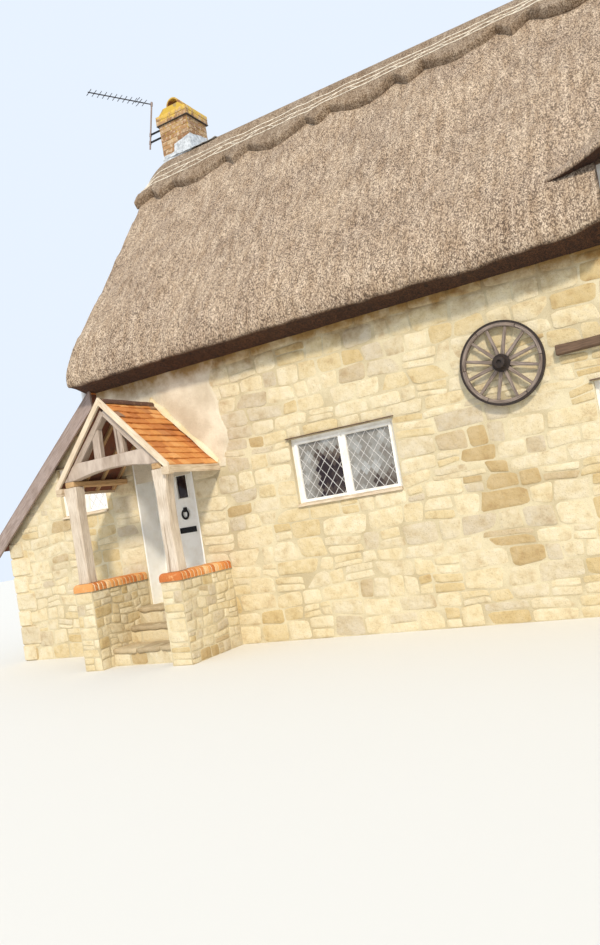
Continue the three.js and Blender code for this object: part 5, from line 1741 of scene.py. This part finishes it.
put("step_slabs", gather(treads), SLAB, crease=50)
put("step_risers", gather(risers), LIMESTONE, crease=50)

# %% [markdown]
# The lean-to's gable edge carries one deep grey board, and a thin strip covers the tiles' edge above it.

# %% Lean-to boards
def lean_board(lower, upper, front, back, seed):
    """A board along the lean-to's slope between two heights off it."""
    x = np.linspace(LEAN_EAVE, LEAN_WALL, 13)
    section = [(front, lower), (front, upper), (back, upper), (back, lower)]
    run = (x - LEAN_EAVE) / math.cos(LEAN_ANGLE)
    return board_along(x, FACE, lean_top(x), section, [0, 0.25, 0.29, 0.54], run, seed, 0.6)


boards = [lean_board(-0.25, -0.002, -0.1363, -0.102, 2.2), lean_board(-0.004, 0.015, -0.1363, -0.06, 7.4)]
put("lean_to_facing_boards", gather(boards), GREY_BOARD, replaces=["lean_to_barge"], crease=30)

# %% [markdown]
# ## Windows
# Each window is a painted frame with leaded lights. The frames come from the solids. What they need is
# depth at a finger's scale: a moulded bead round each light, its own flat frame, and the lead. The lead is
# a net of pale strips on the diagonals, which splits the glass into diamonds 135 mm wide and 176 mm high.
# Each diamond is its own small pane with its own tone, because old panes never lie in one plane. The door's
# small light is made in the same way, so a function here is given its own light's place: a function that
# turns (across, depth, height) into points.

# %% Leaded lights
CAME_WIDE = 0.0105
DIAMOND = 0.13524, 0.1764
PANE_THICK, PANE_SLIVER = 0.003, 4e-5


def diamonds(left, right, bottom, top):
    """Corner points (m, 4, 2) of the diamonds that touch the light, from rows of centres half a step
    apart."""
    wide, high = DIAMOND
    rows = np.arange(-1, int((top - bottom) / (high / 2)) + 3)
    columns = np.arange(-1, int((right - left) / wide) + 3)
    row, column = np.meshgrid(rows, columns, indexing="ij")
    across, up = left + column * wide + (row % 2) * wide / 2, bottom + row * high / 2
    centres = np.column_stack([across.ravel(), up.ravel()])
    corners = centres[:, None] + np.array([(-wide / 2, 0), (0, -high / 2), (wide / 2, 0), (0, high / 2)])
    least, most = corners.min(1), corners.max(1)
    return corners[np.all((most > (left, bottom)) & (least < (right, top)), axis=1)]


def pane_glass(place, left, right, bottom, top, depth, seed, level):
    """Thin diamonds of glass behind the lead, cut to the light's edges, each at its own slight tilt."""
    rng = np.random.default_rng(seed)
    shown = np.clip(diamonds(left, right, bottom, top), (left, bottom), (right, top))
    shown = shown[np.ptp(shown, axis=1).prod(-1) > PANE_SLIVER]
    tilt = rng.normal(0, 0.0012, (len(shown), 4))
    sides = [place(shown[..., 0], depth + tilt + back, shown[..., 1]) for back in (0, PANE_THICK)]
    faces = [(0, 1, 2, 3), (7, 6, 5, 4), (0, 4, 5, 1), (1, 5, 6, 2), (2, 6, 7, 3), (3, 7, 4, 0)]
    tone = np.clip(level(*shown.mean(1).T) + rng.normal(0, 0.10, len(shown)), 0, 1)
    return shape(np.concatenate(sides, 1), repeated([faces], 8, len(shown)), np.repeat(tone, 8))


def lead_net(place, left, right, bottom, top, depth):
    """Flat strips along every diagonal z = slope x + c, cut where they leave the light. A strip is a low
    ridge of four corners a ring, CAME_WIDE wide. The two directions differ by half a millimetre in height."""
    wide, high = DIAMOND
    parts = []
    for slope, out in ((-high / wide, 0.0035), (high / wide, 0.004)):
        for c in np.arange(-60, 61) * high + bottom - slope * left:
            low, far = sorted([(bottom - c) / slope, (top - c) / slope])
            low, far = max(low, left), min(far, right)
            if far - low < 0.01:
                continue
            ends = np.array([(x, slope * x + c) for x in (low, far)])
            along = unit(ends[1] - ends[0])
            side = np.array([-along[1], along[0]]) * CAME_WIDE / 2
            share, level = np.array([(-1, 0.001), (-0.5, -out), (0.5, -out), (1, 0.001)]).T
            flat = ends[:, None] + share[:, None] * side
            parts.append(rings(place(flat[..., 0], depth + level, flat[..., 1])))
    return gather(parts)


def bead(place, left, right, bottom, top, profile):
    """A moulding round a light, mitred at its corners: the profile's (inward, backward) pairs are carried
    round the four corners."""
    inward, depth = np.array(profile, float).T
    corners = (left, 1, bottom, 1), (right, -1, bottom, 1), (right, -1, top, -1), (left, 1, top, -1)
    return hoop(np.array([place(x + sx * inward, depth, z + sz * inward) for x, sx, z, sz in corners]))


# %% [markdown]
# One function dresses a window: it works out where its lights are, as the solid's frame has them, and makes
# beads, glass and lead for each. Front and back windows share it, the back ones after half a turn.

# %% Dressing a window
FRAME_EDGE, MULLION, GLASS_DEPTH = 0.062, 0.070, 0.082
BEAD = [(-0.001, 0.0605), (-0.001, 0.046), (0.010, 0.046), (0.014, 0.052), (0.016, 0.068), (0.016, 0.085),
        (-0.001, 0.085)]
CASEMENT = [(-0.022, 0.061), (-0.022, 0.050), (-0.018, 0.046), (-0.001, 0.046), (0.002, 0.061)]
INWARD = np.array([1, -1, 1, -1])


def on_front(x, y, z):
    """A point of the front wall's frame: y counts into the wall from its face."""
    x, y, z = np.broadcast_arrays(x, y, z)
    return np.stack([x, y + FACE, z], -1)


def lights_of(centre, half, sill, head, count):
    """(left, right, bottom, top) of each light."""
    clear = (2 * half - 2 * FRAME_EDGE - (count - 1) * MULLION) / count
    starts = centre - half + FRAME_EDGE + np.arange(count) * (clear + MULLION)
    return [(x, x + clear, sill + FRAME_EDGE, head - FRAME_EDGE) for x in starts]


def window(centre, half, sill, head, count, seed, level):
    """(white parts, glass, lead) of a window in the front wall. A light has a moulded bead and, round it,
    its own flat frame, 14 mm proud of the main one. The glass and the lead stop inside the bead."""
    white, glass, lead = [], [], []
    for i, light in enumerate(lights_of(centre, half, sill, head, count)):
        white += [bead(on_front, *light, profile) for profile in (BEAD, CASEMENT)]
        glass.append(pane_glass(on_front, *(light + 0.004 * INWARD), GLASS_DEPTH, seed + i, level))
        lead.append(lead_net(on_front, *(light + 0.010 * INWARD), GLASS_DEPTH))
    return gather(white), gather(glass), gather(lead)


def sky_and_room(x, z):
    """Painted reflection and shade in the panes' colour, from 0 for the dark room to 1 for near white:
    painted grey sky, darker towards the foot, in the left light of the front left window the dark room, and
    near white low in the lean-to's window."""
    dark_foot = ease((1.95 - z) / 0.2) * ease((x + 3.8) / 0.35)
    room = ease((x + 4.46) / 0.16) * ease((-3.97 - x) / 0.05) * ease((2.38 - z) / 0.22)
    near_white_low = ease((-7.75 - x) / 0.05) * ease((2.64 - z) / 0.04)
    return 0.70 - 0.50 * dark_foot - 0.65 * room + 0.9 * near_white_low + 0.05 * ripple(x, z, 0.5, 505)


WINDOWS = {
    "front_left_window": (-SIDE_X, *SIDE_LIGHT, 2),
    "front_middle_window": (0.0, *MIDDLE_LIGHT, 3),
    "front_right_window": (SIDE_X, *SIDE_LIGHT, 2),
    "front_upper_window": (0.0, *UPPER_LIGHT, 2),
    "lean_to_window": (LEAN_X, *LEAN_LIGHT, 2),
    "back_left_window": (-SIDE_X, *SIDE_LIGHT, 2),
    "back_right_window": (SIDE_X, *SIDE_LIGHT, 2),
    "back_upper_window": (0.0, *UPPER_LIGHT, 2),
}
for number, (name, numbers) in enumerate(WINDOWS.items()):
    parts = window(*numbers, 510 + 10 * number, sky_and_room)
    white, glass, lead = map(half_turn, parts) if name.startswith("back") else parts
    solid = name.replace("window", "glass")
    put(name + "_casements", white, WORN_WHITE, crease=30)
    put(name.replace("window", "panes"), glass, GLASS, replaces=[solid])
    put(name + "_lead", lead, CAME, crease=30)
coat(WORN_WHITE, *WINDOWS)

# %% [markdown]
# A sloping oak sill sheds water in front of each lower window, and a thin weathered board stands over
# its head.

# %% Sills and drip boards
def sill(centre, half, level, seed):
    """A board with a sloping top: it fills the reveal in front of the frame and stands 34 mm out."""
    x = np.linspace(centre - half + 0.004, centre + half - 0.004, 9)
    section = [(-0.034, -0.002), (-0.034, 0.022), (0.060, 0.040), (0.060, -0.002)]
    return board_along(x, FACE, level, section, [0, 0.03, 0.13, 0.16], x, seed, 0.8)


def drip(centre, half, level, seed):
    """A thin sloping board over a window's head."""
    x = np.linspace(centre - half - 0.03, centre + half + 0.03, 9)
    section = [(-0.040, 0.004), (-0.040, 0.016), (0.06, 0.034), (0.06, 0.016)]
    z = level + 0.003 * waver(x, 0.7, seed)
    return board_along(x, FACE, z, section, [0, 0.02, 0.12, 0.14], x, seed, 0.5)


sills, drips = [], []
for number, (name, (centre, half, low, high, _)) in enumerate(WINDOWS.items()):
    if "upper" in name:
        continue
    turned = half_turn if name.startswith("back") else dict
    sills.append(turned(sill(centre, half, low, 600 + number)))
    drips.append(turned(drip(centre, half, high, 620 + number)))
put("window_sills", gather(sills), EAVES_BOARD, crease=30)
put("window_drip_boards", gather(drips), BARK_BROWN, crease=30)

# %% [markdown]
# ## The door
# The door is a plain white leaf with a small leaded pane, a ring knocker between two bosses, and a black
# letter plate with a flap. Everything on it turns with it, so these pieces ride on the door.

# %% Door
LEAF_MIDDLE = (-7.176 - 6.294) / 2
LEAF_Y = FACE + 0.400


def on_leaf(x, y, z):
    """A point on the leaf's outer face: y counts into the leaf."""
    x, y, z = np.broadcast_arrays(x, y, z)
    return np.stack([x + LEAF_MIDDLE, y + LEAF_Y, z], -1)


DOOR_PANE = np.array([-0.088, 0.088, 2.057, 2.382])
PANE_BEAD = [(-0.022, 0.002), (-0.020, -0.008), (-0.008, -0.012), (0.001, -0.006), (0.003, 0.014),
             (-0.004, 0.014)]
LETTER_SEAT = [(0.0, 0.0), (0.0, -0.008), (0.006, -0.011), (0.014, -0.011), (0.016, 0.0)]
pane_bead = bead(on_leaf, *DOOR_PANE, PANE_BEAD)
put("door_pane_bead", pane_bead, WHITE, body="door", crease=30)
glass = pane_glass(on_leaf, *(DOOR_PANE + 0.001 * INWARD), 0.018, 640, lambda x, z: 0 * x)
put("door_panes", glass, GLASS, body="door", replaces=["door_glass"])


def flat_plate(left, right, bottom, top, out, edge):
    """A plate on the leaf with a rounded edge: rings that shrink by a quarter circle towards its face."""
    a = np.linspace(0, 0.5 * np.pi, 5)
    inset = np.append(0, edge * (1 - np.cos(a)))[:, None]
    depth = np.append(0.003, -out * np.sin(a))[:, None]
    x, z = np.array([(left, right, right, left), (bottom, bottom, top, top)])
    return rings(on_leaf(x + inset * (1, -1, -1, 1), depth, z + inset * (1, 1, -1, -1)))


def torus(centre, radius, rod, stretch):
    """A ring in the leaf's plane: (radius + rod cos b) round, rod sin b forward, its height stretched."""
    a, b = [np.linspace(0, 2 * np.pi, count, endpoint=False) for count in (40, 12)]
    a, r = a[:, None], radius + rod * np.cos(b)
    x, z = centre[0] + r * np.sin(a), centre[2] - r * np.cos(a) * stretch
    return hoop(on_leaf(x, centre[1] - rod * np.sin(b), z))


knocker = gather([
    torus((0, -0.022, 1.825), 0.052, 0.013, 1.2),
    flat_plate(-0.030, 0.030, 1.855, 1.925, 0.028, 0.018),
    flat_plate(-0.013, 0.013, 1.750, 1.780, 0.014, 0.009),
])
put("door_ring_knocker", knocker, IRON, body="door", replaces=["door_knocker"])
seat = bead(on_leaf, -0.145, 0.145, 1.560, 1.640, LETTER_SEAT)
flap = flat_plate(-0.128, 0.128, 1.574, 1.626, 0.007, 0.006)
put("door_letter_flap", gather([seat, flap]), IRON, body="door", replaces=["letter_plate"])
knob_line = [(0.001, 0.0), (0.026, 0.0), (0.026, 0.006), (0.010, 0.010), (0.010, 0.030), (0.024, 0.040),
             (0.026, 0.052), (0.016, 0.060), (0.001, 0.062)]
knob = lathe(knob_line, on_leaf(0.375, 0.001, 1.700), -Y, X, 24)
put("door_knob", knob, IRON, body="door")
bar_ends = on_leaf(np.array([-0.43, 0.43]), -0.014, 0.71)
weather_bar = straight(*bar_ends, Z, 0.03, 0.014, 645, cut=0.006, sway=0)
put("door_weather_bar", weather_bar, WHITE, body="door")
coat(WHITE, "front_door", "door_frame")
coat(FLOOR_BOARD, "ground_floor", "upper_floor")

# %% [markdown]
# ## The wagon wheel
# A wooden wheel is built from parts that show: a turned hub with iron bands, twelve spokes that taper
# towards the rim, six curved felloes that butt at open joints, and an iron tyre shrunk round them. The hub
# is turned, and felloes, bands and tyre are sections carried round the wheel's axis.

# %% Wagon wheel
WHEEL_X, WHEEL_Y, WHEEL_Z, WHEEL_R = -1.870, FACE - 0.070, 2.810, 0.460
WHEEL_MIDDLE = np.array([WHEEL_X, WHEEL_Y, WHEEL_Z])
RIM_WIDE, RIM_DEEP, TYRE_THICK = 0.062, 0.060, 0.020


def carried(section, angles):
    """A section of (radius, y) pairs at each angle round the wheel's axis."""
    r, y = np.transpose(section)
    a = angles[:, None]
    x = WHEEL_X + r * np.cos(a)
    return np.stack([x, np.broadcast_to(y, x.shape), WHEEL_Z + r * np.sin(a)], -1)


def felloe(start, end, seed):
    """A curved piece of rim between two angles: a rectangle with cut corners at each angle."""
    a = np.linspace(start, end, 10)
    inner, outer = WHEEL_R - RIM_WIDE, WHEEL_R - TYRE_THICK
    cut, half = 0.007, RIM_DEEP / 2 - 0.002
    near = [(inner, -half + cut), (inner + cut, -half), (outer - cut, -half), (outer, -half + cut)]
    section = [(r, WHEEL_Y + y) for r, y in near] + [(r, WHEEL_Y - y) for r, y in near[::-1]]
    uv = np.stack(np.meshgrid([0, 0.01, 0.05, 0.06, 0.1, 0.11, 0.15, 0.16], a * WHEEL_R), -1) + seed
    return rings(carried(section, a), 0.25 + 0.6 * ((seed * 7) % 10) / 10, uv)


def spoke(angle, seed):
    """A spoke from the hub to the rim: 42 mm by 36 mm at the hub, 30 mm by 26 mm at the rim."""
    r = np.linspace(0.055, WHEEL_R - RIM_WIDE + 0.012, 9)
    t = (r - r[0]) / (r[-1] - r[0])
    out = np.array([math.cos(angle), 0, math.sin(angle)])
    side = np.array([-math.sin(angle), 0, math.cos(angle)])
    centres = WHEEL_MIDDLE + r[:, None] * out
    return timber(centres, side, Y, 0.021 - 0.006 * t, 0.018 - 0.005 * t, seed, cut=0.006, sway=0.001)


def band(inner, outer, front, back, count, taper=0.0):
    """A flat iron band round the wheel's axis between two radii, smaller at its back by the taper."""
    section = [(inner, front), (outer, front), (outer - taper, back), (inner - taper, back)]
    return hoop(carried(section, np.linspace(0, 2 * np.pi, count, endpoint=False)))


felloes = [felloe(i * math.pi / 3 + 0.008, (i + 1) * math.pi / 3 - 0.008, i + 1) for i in range(6)]
spokes = [spoke(math.radians(15) + i * math.pi / 6, 700 + i) for i in range(12)]
hub_line = [(0.001, 0.0), (0.085, 0.001), (0.086, 0.030), (0.092, 0.050), (0.095, 0.075), (0.090, 0.105),
            (0.070, 0.125), (0.060, 0.170), (0.056, 0.192), (0.040, 0.198), (0.026, 0.198), (0.024, 0.180),
            (0.001, 0.180)]
hub = lathe(hub_line, (WHEEL_X, FACE - 0.001, WHEEL_Z), -Y, X, 36, 0.6)
put("wheel_wood", gather([*felloes, *spokes]), OLD_WOOD, replaces=["wagon_wheel"], crease=35)
iron = [hub, band(WHEEL_R - 0.022, WHEEL_R, WHEEL_Y - 0.029, WHEEL_Y + 0.027, 72)]
iron += [band(0.084, 0.0975, FACE - y, FACE - y - 0.018, 36) for y in (0.046, 0.092)]
iron += [band(0.052, 0.062, FACE - 0.176, FACE - 0.194, 36, taper=0.002)]
put("wheel_iron", gather(iron), TYRE, crease=35)

# %% [markdown]
# The dark timber beside it is an old lintel: hewn, cracked and uneven.

# %% Timber on the wall
TIMBER_LEVEL = 2.81
x = np.linspace(-1.3, 1.3, 25)
half_z = 0.052 + 0.004 * waver(x, 0.8, 720)
centres = np.column_stack([x, np.full(25, FACE - 0.046), TIMBER_LEVEL + 0.006 * waver(x, 1.4, 721)])
beam = timber(centres, Z, Y, half_z, 0.043, 722, cut=0.014, sway=0.004)
put("wall_timber_hewn", beam, BARK_BROWN, replaces=["wall_timber"], crease=30)

# %% [markdown]
# ## Pipe, aerial and flashing
# The pipe is round with a collar, the aerial a thin mast on two brackets with a boom of short rods, and
# the flashing a sheet of lead dressed over the ridge before the chimney.

# %% Pipe
PIPE_X, PIPE_Y, PIPE_R = -7.985, FACE + 0.08, 0.055
foot = lean_top(PIPE_X) - 0.03
wider = PIPE_R + np.array([0, 0.004, 0.004, 0])
pieces = [((foot, foot + 0.2, 3.998), PIPE_R), ((3.925, 3.935, 3.99, 4.0), wider)]
pipe, collar = [tube([(PIPE_X, PIPE_Y, z) for z in levels], radius, 24) for levels, radius in pieces]
put("vent_pipe_round", gather([pipe, collar]), PIPE_WHITE, replaces=["vent_pipe"])

# %% Aerial
BRACKET_LEVELS, BOOM_LEVEL = (8.41, 8.54), 9.05
BOOM_ANGLE = math.radians(245)
MAST_Y = FACE + RIDGE_IN
mast_foot, mast_top = np.array([-7.81, MAST_Y, 8.30]), np.array([-7.62, MAST_Y, 9.09])


def mast_at(z):
    """The mast's own line at a height."""
    return mast_foot + (mast_top - mast_foot) * (z - mast_foot[2]) / (mast_top[2] - mast_foot[2])


def on_boom(out, across=0.0, up=0.0):
    """A point by its distances out along the boom, across it and up."""
    c, s = math.cos(BOOM_ANGLE), math.sin(BOOM_ANGLE)
    return mast_at(BOOM_LEVEL) + (out * c - across * s, out * s + across * c, up)


mast = tube([mast_foot, (mast_foot + mast_top) / 2, mast_top], 0.0145, 12)
clamps = [tube([mast_at(z + d) for d in (-0.03, 0, 0.03)], 0.021, 12) for z in (*BRACKET_LEVELS, BOOM_LEVEL)]
put("aerial_mast_tube", gather([mast, *clamps]), ALUMINIUM, replaces=["aerial_mast"])
arms = [straight(mast_at(z), (STACK["left"] - 0.001, MAST_Y, z), Y, 0.013, 0.013, 730, cut=0.002, sway=0)
        for z in BRACKET_LEVELS]
put("aerial_brackets", gather(arms), IRON)
boom = tube([on_boom(d) for d in (0, 0.6, 1.16)], 0.010, 10)
rods = [tube([on_boom(d, w) for w in (-0.1, 0, 0.1)], 0.0055, 8) for d in np.linspace(0.138, 1.142, 12)]
dipole = [tube([on_boom(0.26, 0.09, h), on_boom(0.26, 0, 1.2 * h), on_boom(0.26, -0.09, h)], 0.005, 8)
          for h in (0.03, -0.03)]
put("aerial_boom_tube", gather([boom, *rods, *dipole]), DARK_METAL, replaces=["aerial_boom"])

# %% Flashing
FLASH_EDGE = [(-7.53, -0.085), (-7.13, -0.060), (-6.93, -0.015), (-6.75, -0.028), (-6.60, -0.030),
              (-6.41, -0.065)]
UPSTAND_FOOT = 7.88


def lead_sheet(top, thick):
    """A grid of points with a thickness along its own normals."""
    return sheet(top, top - unit(np.cross(*np.gradient(top, axis=(0, 1)))) * thick)


def lead_saddle():
    """A sheet over the crest from before the stack to past its right side: it follows the cap 14 mm above
    it, from a ragged edge on the front slope over the crest and down the back as far."""
    places, edge = np.array(FLASH_EDGE).T
    x = np.linspace(places[0], places[-1], 29)
    low = np.interp(x, places, edge) + 0.008 * waver(x, 0.16, 741)
    t = np.linspace(0, 1, 6)[None]
    s = low[:, None] + (CREST - low[:, None]) * t
    u = np.broadcast_to(x[:, None], s.shape)
    lift = cap_height(u, s, 21) + 0.014 + 0.026 * (1 - t) ** 2 + 0.005 * ripple(u, s, 0.14, 742)
    front = cap_place(u, s, lift)
    back = front[:, -2::-1] * (1, -1, 1)
    return np.concatenate([front, back], 1)


def lead_upstand():
    """The part that stands up against the stack: low along its front, and a taller patch round its arris."""
    side = STACK["right"] + 0.016
    x = np.linspace(-7.52, side, 28)
    patch = np.where(x > -7.26, 8.165 + (x + 7.26) * 0.2, 8.03 + 0.05 * (x + 7.52))
    y = np.linspace(STACK["front"], 2.87, 14)
    across = np.concatenate([x, np.full(14, side)])
    deep = FACE + np.concatenate([np.full(28, STACK["front"] - 0.015), y])
    top = np.concatenate([patch, 8.24 + (y - STACK["front"]) * 0.17])
    top = top + 0.006 * ripple(across, deep, 0.2, 743)
    across, deep, top = across[:, None], deep[:, None], top[:, None]
    level = UPSTAND_FOOT + (top - UPSTAND_FOOT) * np.linspace(0, 1, 6)
    wave = 0.002 * ripple(across, level, 0.12, 744)
    return np.stack([across + wave, deep - wave, level], -1)


lead = gather([lead_sheet(lead_saddle(), 0.006), lead_sheet(lead_upstand(), 0.005)])
put("chimney_flashing", gather([lead, half_turn(lead)]), LEAD, crease=60)

# %% [markdown]
# ## The floor and the finish
# A wide pale floor catches the shadows.

# %% Floor
FLOOR_HALF, FLOOR_COLOUR = 60.0, "#dcdad4"
corners = [(x, y, 0.0) for x in (-FLOOR_HALF, FLOOR_HALF) for y in (-FLOOR_HALF, FLOOR_HALF)]
floor_mesh = bpy.data.meshes.new("floor")
floor_mesh.from_pydata(corners, [], [(0, 2, 3, 1)])
floor_material, _ = begin("studio_floor_pale", 0.9, Base_Color=linear(FLOOR_COLOUR))
floor_mesh.materials.append(floor_material)
floor = bpy.data.objects.new("floor", floor_mesh)
bpy.context.scene.collection.objects.link(floor)
print("floor", 2 * FLOOR_HALF, "m wide")
